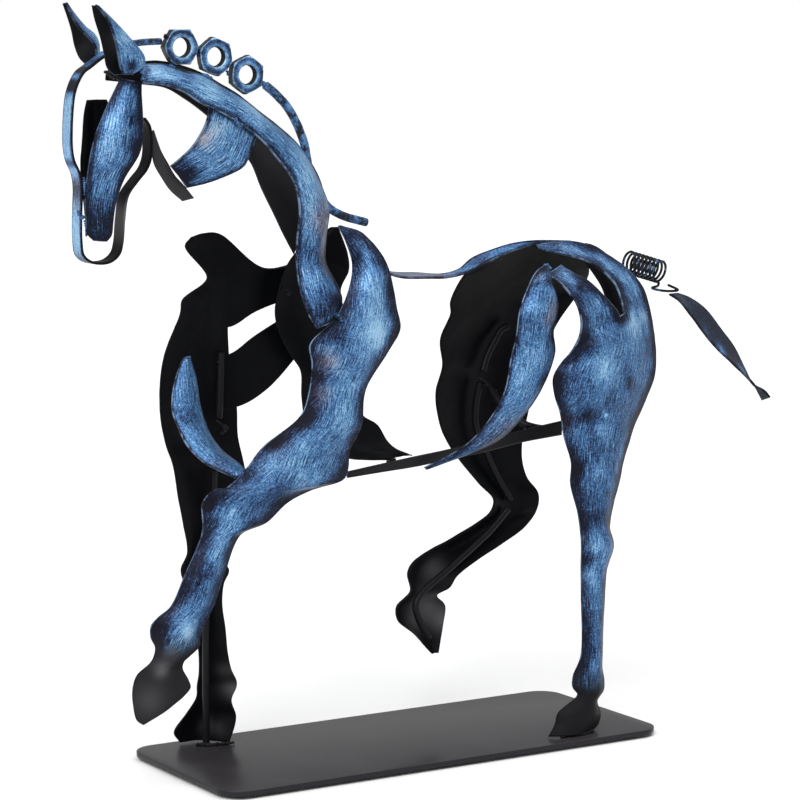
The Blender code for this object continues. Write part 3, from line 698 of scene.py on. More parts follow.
# Far foreleg: one long piece of sheet from the chest down to the plate, where its hoof is welded,
# with two arms back to the shoulder. Its hollow side is black and its outer side is brushed blue.
FAR_FORELEG = [
    [(-99, 21, 245), (-91.5, 23, 246.3), (-83, 24, 245.8), (-57, 28, 228.5), (-38, 28, 230.5)],
    [(-102.8, 20, 241), (-91, 24.5, 238), (-80.5, 25.5, 238), (-57, 29, 226), (-37.5, 29, 227)],
    [(-90, 23, 225.5), (-82.5, 27, 224.5), (-77, 27, 223.5), (-57, 30, 221.5), (-36.5, 30, 221.5)],
    [(-103, 23, 216), (-87, 30, 214), (-75.5, 29, 212.5), (-59, 31, 214.5), (-38.5, 31, 216.5)],
    [(-103.5, 24, 210), (-87, 32, 205.5), (-75.5, 30, 201.5), (-60, 31, 208), (-39.5, 31, 214)],
    [(-111.5, 26, 188.5), (-90, 34, 188), (-74, 32, 188.5), (-60, 32, 196.5), (-39, 32, 207)],
    [(-113, 27, 168.5), (-88.5, 35, 164.5), (-70, 32, 163.5), (-53.5, 32, 171), (-34.5, 32, 188.5)],
    ((-110, 28, 151), (-69.5, 32, 150)),
    ((-106, 28, 139.5), (-66.5, 32, 137)),
    ((-103.5, 28, 125), (-64.5, 31, 123.5)),
    ((-100.5, 29, 112), (-69, 30, 107.5)),
    ((-97, 31.5, 96.5), (-77.7, 31, 92)),
    ((-99.6, 33, 89), (-75.7, 30, 86.3)),
    ((-97.3, 34, 81.5), (-78.5, 30, 80.5)),
    ((-94, 35, 73.5), (-79, 31, 71)),
    ((-90.5, 37, 58.5), (-77.5, 31, 59)),
    ((-88, 38.5, 48), (-76, 31.5, 47)),
    ((-87, 40, 37), (-74, 32, 38.5)),
    ((-87.5, 41, 30.5), (-71, 32, 31)),
    ((-87.5, 42, 24.5), (-74, 32, 23.5)),
    ((-92.5, 43, 17), (-71.5, 32, 15.5)),
    ((-98.5, 44, 8.5), (-72.5, 32, 10)),
    ((-95, 44.8, 3.1), (-75, 32.5, 3.1)),
]
FAR_FORELEG_HOLES = {(4, 2), (4, 3)}
# Painted highlights on the black lacquer low on the leg and at the hoof.
FAR_FORELEG_HIGHLIGHTS = [
    (-71, 28, 4.3, 0.4, 0), (-75, 38, 3.8, 0.2, 0), (-80, 9, 3.8, 0.22, 0), (-68, 4, 3.3, 0.5, 0),
]
far_foreleg_blue = patina("blued_far_foreleg", black_below=26, worn_edge=0)
fit_sheet(
    "far_foreleg",
    "sheet",
    bowed(FAR_FORELEG, FAR),
    far_foreleg_blue,
    "black_paint",
    FAR,
    holes=FAR_FORELEG_HOLES,
    spots=FAR_FORELEG_HIGHLIGHTS,
)

# Far shoulder: one leaf of sheet from the withers down to a point on the belly bar, welded there and
# to the arms of the far foreleg. It is beaten hollow, black inside and brushed blue outside.
FAR_SHOULDER = [
    ((-34, 5, 248), (-31, 4, 248)),
    ((-45, 13, 239), (-21, 12, 234)),
    ((-50.5, 17, 231), (-17, 18, 226)),
    ((-52.5, 22, 219), (-19, 22, 217)),
    ((-53.5, 24, 207), (-15, 24, 205)),
    ((-50.5, 24, 196), (-10, 24, 195)),
    ((-45, 24, 187), (-7, 24, 183)),
    ((-40.5, 23, 180), (-6, 23, 171)),
    ((-40.5, 22, 168), (-8.5, 22, 161)),
    ((-40, 20, 158), (-8, 20, 156.5)),
    ((-36.5, 17, 149), (-2, 17, 152)),
    ((-31, 13, 143), (1, 12, 144)),
    ((-24, 9, 139), (3, 8, 141)),
    ((-17, 5, 138), (7, 4.5, 139)),
    ((-3, 3, 137), (9, 3, 138)),
]
far_strip_blue = patina("blued_far_strip", worn_edge=0)
fit_sheet("far_shoulder", "sheet", bowed(FAR_SHOULDER, FAR), far_strip_blue, "black_paint", FAR)

# Chest strip: a narrow strip of sheet, curved from the far foreleg across to the near one.
# It is brushed a flat mid blue that greys towards its lower end.
CHEST_STRIP = [
    ((-106.5, 16, 190.5), (-103, 16, 191)),
    ((-112, 13, 182), (-101.5, 13, 181)),
    ((-115.5, 10, 174.5), (-101.5, 10, 171.5)),
    ((-117.5, 6, 167), (-101.5, 6, 164)),
    ((-116.5, 2, 160), (-99.5, 2, 155)),
    ((-115.5, -4, 153), (-96.5, -4, 148.5)),
    ((-110.5, -11, 145.5), (-93, -12, 144)),
    ((-99.5, -21, 138.5), (-94, -21, 142)),
]
CHEST_SPOTS = [
    (-114, 155, 4.8, 0.1, 0), (-112, 165, 4.3, -0.15, 0), (-105, 143, 4.8, -0.1, 0.4),
]
chest_blue = patina("blued_chest_strip", base=0.02, fade=1.5, stroke=0.9, mottle=0.15)
fit_sheet(
    "chest_strip", "sheet", bowed(CHEST_STRIP, NEAR), chest_blue, "blue_patina", NEAR, spots=CHEST_SPOTS
)

# Neck: two crests of sheet that meet along the mane like a roof. The near one runs on down over the
# shoulder and is brushed blue lengthways. The far one is black inside and blue outside.
NEAR_CREST = [
    ((-135, -3, 324), (-140, -12, 316)),
    ((-125, -3, 324), (-130, -13, 315)),
    ((-116, -3, 321), (-121, -14, 312)),
    ((-106, -3, 319), (-113, -15, 307)),
    ((-96, -3, 314), (-104, -16, 303)),
    ((-87, -3, 309), (-95, -17, 298)),
    ((-77, -3, 302), (-85, -18, 291)),
    ((-67, -3, 295), (-76, -18, 282)),
    ((-55, -3, 285), (-68, -18, 272)),
    ((-46, -3, 271), (-66, -19, 265)),
    ((-41, -4, 258), (-65, -19, 257)),
    ((-46, -10, 244), (-67, -20, 246)),
    ((-50, -17, 233), (-68, -21, 235)),
    ((-48, -24, 223), (-68, -24, 223)),
    ((-48, -28, 217), (-66, -27, 213)),
    ((-54, -29, 209), (-62, -29, 205)),
]
FAR_CREST = [
    ((-147, 3, 323), (-146, 12, 317)),
    ((-132, 3, 325), (-128, 13, 315)),
    ((-122, 3, 325), (-115, 14, 313)),
    ((-112, 3, 323), (-105, 15, 308)),
    ((-103, 3, 320), (-96, 15, 302)),
    ((-93, 3, 315), (-86, 15, 294)),
    ((-84, 3, 310), (-78, 15, 286)),
    ((-74, 3, 303), (-71, 15, 278)),
    ((-64, 3, 296), (-66, 14, 266)),
    ((-52, 3, 286), (-61, 13, 256)),
    ((-42, 3, 272), (-56, 11, 244.5)),
    ((-37.5, 3, 258), (-52.5, 8, 236)),
]
CREST_SPOTS = [
    (-133, 322, 12.4, 0.22, 0), (-107, 315, 7.6, 0.2, 0), (-85, 304, 8.6, 0.22, 0),
    (-61, 275, 8.6, 0.14, 0), (-50, 252, 8, 0, 1.3), (-51, 236, 7, -0.06, 1.2),
    (-63, 239, 5.7, -0.14, 0), (-61, 228, 3.8, 0.12, 0), (-50, 230, 3.3, 0.05, 0.8),
    (-60, 212, 5.5, -0.3, 0.2), (-53, 217, 4.3, -0.35, 0.6), (-70, 263, 3.8, 0.15, 0),
    (-52, 262, 3.3, 0, 0.3),
]
crest_blue = patina("blued_crest", base=0.1, fade=3.5)
fit_sheet(
    "near_crest", "sheet", bowed(NEAR_CREST, NEAR), crest_blue, "blue_patina", NEAR, spots=CREST_SPOTS
)
# Broad spots of painted light that lift the far crest's shaded hollow.
FAR_CREST_PAINTED_LIGHT = [(-70, 275, 30, 0.2, 0), (-105, 308, 20, 0.12, 0)]
fit_sheet(
    "far_crest",
    "sheet",
    bowed(FAR_CREST, FAR),
    far_strip_blue,
    "black_paint",
    FAR,
    spots=FAR_CREST_PAINTED_LIGHT,
)

# Throat: a flap of sheet tacked under the near crest, with bright brush marks across it,
# and a narrow bar of dark steel strip from the jaw down to the flap's corner.
THROAT_FLAP = [
    ((-107, -12.8, 306.5), (-83.5, -13.8, 292.5)),
    ((-109.5, -13.3, 298.5), (-88.5, -14.6, 282)),
    ((-111.5, -12, 293.5), (-90.5, -14, 278.5)),
    ((-114, -9, 288), (-97, -11, 274.5)),
    ((-117.5, -6, 283.5), (-106, -7, 271)),
    ((-122, -3, 279), (-114, -3, 269)),
]
THROAT_BAR = [
    [(-129.5, 0, 294.5), (-128.5, 0, 295)],
    [(-129.3, 0, 286), (-125, 0, 286)],
    [(-128.5, 0, 280), (-121.5, 0, 280)],
    [(-125, 0, 274), (-118, 0, 274.5)],
    [(-120.5, 0, 268), (-114.5, 0, 271)],
    [(-114.4, 0, 262.9), (-108.5, 0, 264.1)],
]
FLAP_SPOTS = [
    (-110, 291, 4.3, 0.3, 0.95), (-105, 296, 4.3, 0.2, 0.4), (-118, 273, 6, -0.5, 0),
    (-114, 277, 4.8, -0.2, 0), (-89, 295, 5.7, 0.16, 0), (-99, 299, 5.7, 0.1, 0),
    (-100, 281, 4.3, 0.02, 0),
]
flap_blue = patina("blued_flap", fade=3, stroke=1.2)
flap_rows = bowed(THROAT_FLAP, NEAR, bow=0.25)
fit_sheet("throat_flap", "sheet", flap_rows, flap_blue, "blue_patina", NEAR, spots=FLAP_SPOTS)


def dark_metal(name, blue=0.0, shade=(0.020, 0.020, 0.023), rough=0.45):
    """Lacquered dark steel, with blue brushed over this share of it."""
    steel = Finish(name)
    place = steel.place()
    patches = steel.cloud(place, 210, 4, 0.65)
    grain = steel.cloud(place, 1500, 3, 0.7)
    brushed = steel.ramp(NAVY_TO_PALE, 0.45 + (patches - 0.5) * 1.3 + (grain - 0.5) * 1.1)
    missed = 0.62 - 0.35 * blue
    cover = (patches + (grain - 0.5) * 0.5).step(missed, missed + 0.1) * min(1, blue * 3)
    bare = steel.mix(grain, shade, tuple(2 * part for part in shade))
    steel.set(
        colour=steel.mix(cover, bare, brushed),
        metal=cover * 0.3,
        rough=rough + (grain - 0.5) * 0.25,
        specular=0.15,
        normal=steel.bump(grain + patches, 0.06, 0.5),
    )
    return steel.material


bar_steel = dark_metal("grey_bar", shade=(0.022, 0.0215, 0.024))
fit_sheet("throat_bar", "strip", THROAT_BAR, bar_steel, "dark_steel", NEAR)

# Head band: one flat bar 9 mm wide bent round the face, muzzle and jaw, pale blue outside,
# black inside, with a bare plum-brown patch where the cheek's heat reached the face.
HEAD_BAND = [
    (-151, 329.5), (-156, 326.5), (-161, 323), (-164, 321), (-167, 316.5), (-169, 311),
    (-170, 304), (-170.5, 296), (-170.5, 288), (-169.5, 282.5), (-167, 277), (-166, 271),
    (-166.5, 258), (-166.5, 247), (-165.5, 241), (-162, 238), (-156, 237), (-151.5, 238),
    (-148, 241), (-146.5, 246), (-145.5, 256), (-143.5, 266.5), (-138.5, 273), (-134, 278),
    (-132, 283), (-131.5, 290), (-132.5, 297), (-135, 300.5),
]
band_low, band_high = box_of("head_band")
EDGE = (band_high.y - band_low.y) / 2 / MM
HEAD_MIDDLE = (-152, 280)
# The strong light spot at the back of the jaw is painted sheen on the band's black inside.
BAND_SPOTS = [
    (-168.5, 315, 2.8, -1.1, 0), (-158, 325.5, 5.5, -0.3, 0.2), (-163, 321, 2, -0.9, 0),
    (-167, 270, 5.5, -0.35, 1), (-169, 263, 2.9, 0.05, 0.8), (-170, 281, 2, -0.5, 0),
    (-163, 238, 4.5, -0.35, 0.8), (-156, 237, 2.9, -0.4, 0.5), (-142, 258, 6.5, 1.1, 0),
    (-147, 249, 4.3, 0.22, 0), (-138, 269, 3.3, 0.1, 0),
]
band_blue = patina("blued_band", base=0.42, fade=1.5, stroke=0.8, plum=0.3, worn_edge=0)
band_rows = [[(x, -EDGE, z), (x, EDGE, z)] for x, z in HEAD_BAND]
BAND_RUBBED = 0.03
fit_sheet(
    "head_band",
    "bar",
    band_rows,
    band_blue,
    "blue_patina",
    away=HEAD_MIDDLE,
    thick=SHEET - BAND_RUBBED,
    dent=0,
    spots=BAND_SPOTS,
)

# Cheeks: a plate of sheet welded on to each side of the band. The near one is brushed in long fine
# strokes, with a painted highlight along its middle, and is darker towards the jaw.
CHEEK_GAP = 0.6
CHEEK = EDGE + SHEET / 2 + CHEEK_GAP
NEAR_CHEEK = [
    ((-147.5, 0, 318), (-138, 1.5, 316)),
    ((-151.5, 0, 311), (-139, 3.5, 311)),
    ((-157, 0, 300.5), (-139, 4.5, 302.5)),
    ((-160.5, 0, 292.5), (-139, 4.5, 296)),
    ((-163, 0, 283), (-140.5, 4.5, 286)),
    ((-164.5, 0, 274), (-148.5, 4.5, 274)),
    ((-165.5, 0, 263), (-152.5, 4.5, 264)),
    ((-165, 0, 255.5), (-153.5, 3.5, 255.5)),
    ((-164.5, 0, 250.5), (-154, 2.5, 249.5)),
    ((-162, 1, 247.5), (-156, 1.5, 247)),
]
FAR_CHEEK = [
    ((-158, 0, 308.5), (-147.5, 2, 308.5)),
    ((-159.5, 0, 302), (-144, 3, 301.5)),
    ((-160.5, 0, 291), (-142.5, 4, 290.5)),
    ((-161.5, 0, 280), (-144, 4, 279.5)),
    ((-160.5, 0, 267), (-147.5, 4, 266)),
    ((-159.5, 0, 255), (-151.5, 2, 254.5)),
]


def cheek(outline, side):
    """Rows of a cheek. The middle number of each point is how far it stands off the band."""
    return bowed([[(x, side * (CHEEK + off), z) for x, off, z in pair] for pair in outline], side)


CHEEK_SPOTS = [
    (-153, 300, 6.7, 0.26, 0), (-155, 287, 6.7, 0.24, 0), (-157, 274, 4.8, 0.1, 0),
    (-143, 288, 5, -0.4, 0), (-146, 300, 3.3, -0.15, 0), (-160, 257, 7, -0.26, 0),
    (-146, 276, 3.8, -0.3, 0), (-162, 292, 2.9, -0.1, 0.3),
]
cheek_blue = patina("blued_cheek", base=-0.07, fade=5, stroke=1.2, plum=0.2, worn_edge=0.4)
fit_sheet(
    "near_cheek",
    "plate",
    cheek(NEAR_CHEEK, NEAR),
    cheek_blue,
    "blue_patina",
    NEAR,
    dent=0.12,
    spots=CHEEK_SPOTS,
)
fit_sheet("far_cheek", "plate", cheek(FAR_CHEEK, FAR), far_strip_blue, "black_paint", FAR, dent=0.12)

# Ears: each is a small leaf of sheet folded along its crease and welded on at the poll.
# They are black in the fold and brushed blue outside.
NEAR_EAR = [
    [(-162.2, -12, 350), (-161.2, -12, 349.5), (-163.5, -11, 349.7)],
    [(-158.3, -15, 343.9), (-155, -12, 344.1), (-161.4, -9, 344.3)],
    [(-156.1, -17, 336.3), (-146.8, -12, 336.1), (-157.8, -7, 336.3)],
    [(-154.4, -17, 329.3), (-139.2, -12, 327.4), (-155.8, -6.5, 329.2)],
    [(-152.1, -14.5, 323.2), (-139, -11, 323.8), (-154.5, -7, 322.7)],
    [(-149.7, -12, 320.1), (-144.8, -11, 320), (-152.1, -9, 319.7)],
]
FAR_EAR = [
    [(-164.5, 13, 351), (-164, 13.5, 351), (-165.5, 14, 350.5)],
    [(-163.5, 10, 346), (-160.5, 13, 346), (-162.5, 16, 345.5)],
    [(-160.5, 8, 340), (-155, 13, 340), (-159.5, 18, 339)],
    [(-156, 7.5, 335.5), (-151.5, 12, 337), (-158, 18, 332)],
    [(-153, 7.5, 331.5), (-150, 11, 333.5), (-157, 15, 326.5)],
    [(-152, 9, 326), (-149.5, 11, 327), (-154.5, 12, 323)],
]
EAR_SPOTS = [
    (-148, 332, 4.8, 0.1, 0), (-150, 337, 3.8, 0.15, 0), (-146, 324, 2.4, -0.5, 0),
]
ear_blue = patina("blued_ear", base=0.1, fade=1.5, plum=0.2, worn_edge=0.3)
for name, rows, middle in (("near_ear", NEAR_EAR, (-160, 330)), ("far_ear", FAR_EAR, (-165, 335))):
    fit_sheet(
        name, "leaf", rows, ear_blue, "blue_patina", away=middle, dent=0.06, spots=EAR_SPOTS, spacing=0.6
    )

# Mane rods: a thin rod from the poll to the first nut and a thicker one that curls back from the last
# nut over the neck. Both are round bar, hand bent, with worn blue over black.
MANE_ROD_FRONT = [(-145.5, 0, 332.5), (-135.5, 0, 333.5), (-130, 0, 333.8), (-124.25, 0, 334)]
MANE_ROD_REAR = [
    (-71.72, 0, 314.3), (-66, 0, 309.9), (-61, 0, 305), (-57, 0, 299.5), (-53.8, 0, 293.4),
    (-51.5, 0, 287.7), (-49.8, 0, 280), (-48, 0, 271), (-44, 0, 264), (-39, 0, 258),
    (-32, 0, 254), (-26, 0, 252), (-18, 0, 250),
]
MANE_FRONT_THICK = 3
MANE_REAR_THICK = 4


class Tree:
    """A Geometry Nodes tree with named inputs, and the modifier that runs it on an object."""

    def __init__(self, name, **inputs):
        self.group = bpy.data.node_groups.new(name, "GeometryNodeTree")
        face = self.group.interface
        face.new_socket("Geometry", in_out="INPUT", socket_type="NodeSocketGeometry")
        self.keys = {}
        for label, kind in inputs.items():
            made = face.new_socket(label, in_out="INPUT", socket_type=f"NodeSocket{kind}")
            self.keys[label] = made.identifier
        face.new_socket("Geometry", in_out="OUTPUT", socket_type="NodeSocketGeometry")
        self.start = self.group.nodes.new("NodeGroupInput")
        self.end = self.group.nodes.new("NodeGroupOutput")

    def node(self, kind, settings=None, sockets=None, out=0):
        made = self.group.nodes.new(kind)
        for name, value in (settings or {}).items():
            setattr(made, name, value)
        for name, value in (sockets or {}).items():
            if isinstance(value, bpy.types.NodeSocket):
                self.group.links.new(value, made.inputs[name])
            else:
                made.inputs[name].default_value = value
        return made.outputs[out]

    def shaken(self, geometry, fineness, reach):
        """The geometry with its points moved a little at random, as in hand work."""
        lump = self.node("ShaderNodeTexNoise", {}, {"Scale": fineness, "Detail": 2.0}, "Color")
        subtract, scale = ({"operation": word} for word in ("SUBTRACT", "SCALE"))
        centred = self.node("ShaderNodeVectorMath", subtract, {0: lump, 1: (0.5, 0.5, 0.5)})
        move = self.node("ShaderNodeVectorMath", scale, {0: centred, "Scale": reach})
        return self.node("GeometryNodeSetPosition", {}, {0: geometry, "Offset": move})

    def finish(self, geometry, material):
        """Ends the tree in real geometry with its material on."""
        real = self.node("GeometryNodeRealizeInstances", {}, {0: geometry})
        dressed = self.node("GeometryNodeSetMaterial", {}, {0: real, "Material": material})
        self.group.links.new(dressed, self.end.inputs[0])

    def made_on(self, source, name, **values):
        """The plain mesh that the tree makes of the source, which is then removed."""
        modifier = source.modifiers.new(name, "NODES")
        modifier.node_group = self.group
        for label, value in values.items():
            modifier[self.keys[label]] = value
        graph = bpy.context.evaluated_depsgraph_get()
        mesh = bpy.data.meshes.new_from_object(source.evaluated_get(graph))
        mesh.name = name
        source.modifiers.remove(modifier)
        bpy.data.objects.remove(source)
        return placed(name, mesh)


BAR_LUMPS = 180.0
BAR_CREASE = 40
END_ROUND = 0.12
round_bar = Tree(
    "round_bar", Radius="Float", Wobble="Float", Spacing="Float", Sides="Int", Material="Material"
)
bar_in = round_bar.start.outputs
even = round_bar.node(
    "GeometryNodeResampleCurve", {"mode": "LENGTH"}, {0: bar_in["Geometry"], "Length": bar_in["Spacing"]}
)
bent = round_bar.shaken(even, BAR_LUMPS, bar_in["Wobble"])
ring = round_bar.node(
    "GeometryNodeCurvePrimitiveCircle", {}, {0: bar_in["Sides"], "Radius": bar_in["Radius"]}
)
swept = round_bar.node("GeometryNodeCurveToMesh", {}, {0: bent, 1: ring, "Fill Caps": True})
round_bar.finish(swept, bar_in["Material"])


def path_of(name, lines):
    """A curve object of straight short steps through each list of points, in millimetres."""
    data = bpy.data.curves.new(name, "CURVE")
    data.dimensions = "3D"
    for points in lines:
        line = data.splines.new("POLY")
        line.points.add(len(points) - 1)
        for target, point in zip(line.points, points):
            target.co = (*at(point), 1)
    return placed(name, data)


def bar(name, points, material, thick, wobble=0.5, sides=20, spacing=0.8):
    """A bent round bar through the points, with its ends rounded off."""
    points = [Vector(p) for p in points]
    line = flow(points, [max(1, round((b - a).length / spacing)) for a, b in zip(points, points[1:])])
    piece = round_bar.made_on(
        path_of(name, [line]),
        name,
        Radius=thick / 2 * MM,
        Wobble=wobble * MM,
        Spacing=spacing * MM,
        Sides=sides,
        Material=material,
    )
    shape = bmesh.new()
    shape.from_mesh(piece.data)
    caps = [f for f in shape.faces if len(f.verts) > 4]
    rims = list({e for f in caps for e in f.edges})
    round_off(shape, rims, END_ROUND * thick, 3)
    shape.to_mesh(piece.data)
    shape.free()
    piece.data.shade_smooth()
    piece.data.set_sharp_from_angle(angle=math.radians(BAR_CREASE))
    return piece


mane_steel = dark_metal("worn_blue_rod", blue=0.55, shade=(0.010, 0.010, 0.014))
mane_front = bar("mane_rod_front_bar", MANE_ROD_FRONT, mane_steel, MANE_FRONT_THICK)
settle(mane_front, "dark_steel", "mane_rod_front")
mane_rear = bar("mane_rod_rear_bar", MANE_ROD_REAR, mane_steel, MANE_REAR_THICK)
settle(mane_rear, "dark_steel", "mane_rod_rear")

# Mane nuts: three thin steel nuts stood on edge and tacked together, their corners chamfered
# and their threads left in. They are brushed blue outside and stay dark in the bore.
NUT_TURNS = (0, -21, -35)
NUT_BORE = 8.5
NUT_CHAMFER = math.radians(30)
NUT_FACE = 0.96
NUT_POINTS = 96
NUT_CREASE = 32
THREAD_PITCH = 1.5
THREAD_DEPTH = 0.45
THREAD_RINGS = 28
LEAD_IN = 0.6
SINK = 0.75


def nut_mesh(name, radius, thick, bore, turn, centre, material):
    """A chamfered hexagon nut with its axis along Y: rings of points from the bore round the outside."""
    flat = radius * math.cos(math.pi / 6)
    face = flat * NUT_FACE
    half = thick / 2
    threaded = thick - 2 * LEAD_IN
    profile = [("bore", -half + LEAD_IN + threaded * i / THREAD_RINGS) for i in range(THREAD_RINGS + 1)]
    front = [("ring", half - 0.3, bore + 0.5), ("ring", half, bore + SINK), ("ring", half, face - 0.6)]
    front += [("hex", half - down) for down in (0, 0.35, 0.8, 1.3)]
    profile += [*front, ("hex", 0.0)]
    profile += [(kind, -y, *size) for kind, y, *size in reversed(front)]
    shape = bmesh.new()
    rings = []
    for kind, y, *size in profile:
        ring = []
        for k in range(NUT_POINTS):
            angle = 2 * math.pi * k / NUT_POINTS
            if kind == "bore":
                phase = (y / THREAD_PITCH + k / NUT_POINTS) % 1
                reach = bore + THREAD_DEPTH * (1 - abs(2 * phase - 1))
            elif kind == "ring":
                reach = size[0]
            else:
                off = (math.degrees(angle) + 30) % 60 - 30
                hexagon = flat / math.cos(math.radians(30 - abs(off)))
                reach = min(hexagon, face + (half - abs(y)) / math.tan(NUT_CHAMFER))
            spot = Vector((reach * math.cos(angle), y, reach * math.sin(angle)))
            spot = Matrix.Rotation(math.radians(-turn), 3, "Y") @ spot
            ring.append(shape.verts.new(at(spot + centre)))
        rings.append(ring)
    for a, b in zip(rings, rings[1:] + rings[:1]):
        for k in range(NUT_POINTS):
            after = (k + 1) % NUT_POINTS
            shape.faces.new([a[k], a[after], b[after], b[k]])
    bmesh.ops.recalc_face_normals(shape, faces=shape.faces)
    return piece_from(shape, name, material, NUT_CREASE)


BORE_BLACK = (0.014, 0.0125, 0.0135)
nut_blue = Finish("blued_nut")
nut_place = nut_blue.place()
nut_patches = nut_blue.cloud(nut_place, 260, 3, 0.6)
nut_grain = nut_blue.cloud(nut_place, 1500, 3, 0.7)
nut_light = 0.27 + (nut_patches - 0.5) * 1.2 + (nut_grain - 0.5) * 1.0
nut_light += nut_blue.attribute("worn") * (0.2 + nut_patches * 0.75)
nut_outer = (nut_blue.attribute("painted") + (nut_patches - 0.5) * 0.6).step(0.35, 0.65)
nut_blue.set(
    colour=nut_blue.mix(nut_outer, BORE_BLACK, nut_blue.ramp(NAVY_TO_PALE, nut_light)),
    metal=nut_outer * 0.3,
    rough=0.42 + (nut_grain - 0.5) * 0.25,
    specular=0.3,
    normal=nut_blue.bump(nut_grain + nut_patches, 0.05, 0.5),
)
for number, turn in enumerate(NUT_TURNS, 1):
    nut_low, nut_high = box_of(f"mane_nut_{number}")
    nut_middle = ((nut_low + nut_high) / 2 - PLACE) / MM
    thick = (nut_high.y - nut_low.y) / MM
    tallest = max(abs(math.sin(math.radians(turn + 60 * k))) for k in range(3))
    corner = (nut_high.z - nut_low.z) / MM / 2 / tallest
    nut = nut_mesh(
        f"mane_nut_{number}_worn", corner, thick, NUT_BORE / 2, turn, nut_middle, nut_blue.material
    )
    painted, worn = [], []
    for vertex in nut.data.vertices:
        spot = (vertex.co - PLACE) / MM - nut_middle
        out = math.hypot(spot.x, spot.z) - NUT_BORE / 2
        from_face = thick / 2 - abs(spot.y)
        painted.append(1.0 if out > 0.4 and from_face < 0.5 else 0.0)
        worn.append(1.0 if from_face < 1 and (0.4 < out < 1 or from_face > 0.1) else 0.0)
    mark(nut.data, painted=painted, worn=worn)
    settle(nut, "dark_steel", f"mane_nut_{number}")

# Back strip: one flat strip of sheet from behind the withers, level at first, then twisted up on edge
# and run out along the croup. Its front half is plum grey where the blue is thin.
BACK_STRIP = [
    [(-27, -9, 231), (-27, -20, 230)],
    [(-17, 1, 230), (-20, -11, 229)],
    [(-10, 5, 228), (-10, -7, 226)],
    [(-1.5, 6, 225.5), (-2, -6, 224)],
    [(12.5, 6, 224.5), (12.5, -5, 223)],
    [(25, 4, 223.5), (25.5, -2, 222.5)],
    [(34.5, 3, 225.5), (35, -3, 224)],
    [(42, 3, 230.5), (43.5, -4, 227)],
    [(52, 2, 234), (55, -3.5, 231.5)],
    [(64, 0.6, 237), (67.5, -2, 234.5)],
    [(77, 0.4, 238), (78, -0.3, 236)],
    [(98, 0.4, 237), (98, 0, 236)],
]
BACK_SPOTS = [(0, 225, 14, 0.15, 0.9), (20, 224, 12, 0.2, 0.9), (45, 227, 5, -0.1, 0.5)]
back_blue = patina("blued_back_strip", fade=2, stroke=0.6, worn_edge=0.4)
fit_sheet("back_strip", "sheet", BACK_STRIP, back_blue, "blue_patina", NEAR, dent=0.1, spots=BACK_SPOTS)

# Near hind leg: croup, haunch, hock and hoof from one sheet, beaten hollow and slit at the top so that
# two strips part over the tail. It is brushed from every side, in light and dark patches, with painted
# highlights and painted shade among them.
NEAR_HIND_LEG = [
    [(76, -2.2, 236), (77, -3, 234), None, None],
    [(85, -2.2, 237), (84, -5, 232), None, None],
    [(96, -2.2, 237), (92, -7, 230), (80, -17, 227), (70, -20, 223)],
    [(107, -3, 234.5), (99, -9, 228), (84, -20, 224), (73, -25, 220)],
    [(119, -4, 228.5), (106, -12, 224), (91, -23, 220), (76, -29, 215)],
    [(127.5, -7.5, 221.5), (112, -16, 217), (97, -26, 214), (79, -32, 209)],
    [(134, -10, 213), (112, -21, 211), (103, -27, 208), (80, -34, 201)],
    [(136, -13, 203), (111, -26, 203), (107, -28, 202), (79, -34, 194)],
    [(136.5, -16, 191), (111, -31, 191), (90, -37, 190), (75, -33, 187)],
    [(135.5, -19, 180.5), (109, -33, 182), (86, -38, 183), (71, -31, 182)],
    [(132.5, -22, 170.5), (105, -35, 173), (82, -39, 175), (67, -30, 175)],
    [(126.5, -24, 160.5), (101, -36, 163), (80, -39, 165), (68, -30, 166)],
    ((117.5, -26, 147), (71, -30, 158)),
    ((111, -28, 134), (73.5, -30, 145.5)),
    ((107, -29, 122.5), (77, -31, 133.5)),
    ((103, -30, 112), (76, -32, 123.5)),
    ((100, -31, 100.5), (79.5, -33, 109.5)),
    ((102, -31.5, 91), (81, -34, 96)),
    ((97.5, -32, 79.5), (81, -34, 82.5)),
    ((96, -32.5, 65), (81, -34.5, 68)),
    ((94, -34, 32), (80, -36, 40)),
    ((95, -34, 26), (75.5, -36, 30.5)),
    ((94.5, -34.5, 21.5), (75, -36.5, 25.5)),
    ((90.5, -35, 16.5), (77.5, -37, 21.5)),
    ((92.5, -35, 10), (65.5, -38, 14)),
    ((91, -35.5, 5.5), (63.5, -38.5, 9)),
    ((88.5, -35.6, 3.1), (59.5, -38.9, 3.4)),
]
SLIT = {(row, 1) for row in range(2, 7)}
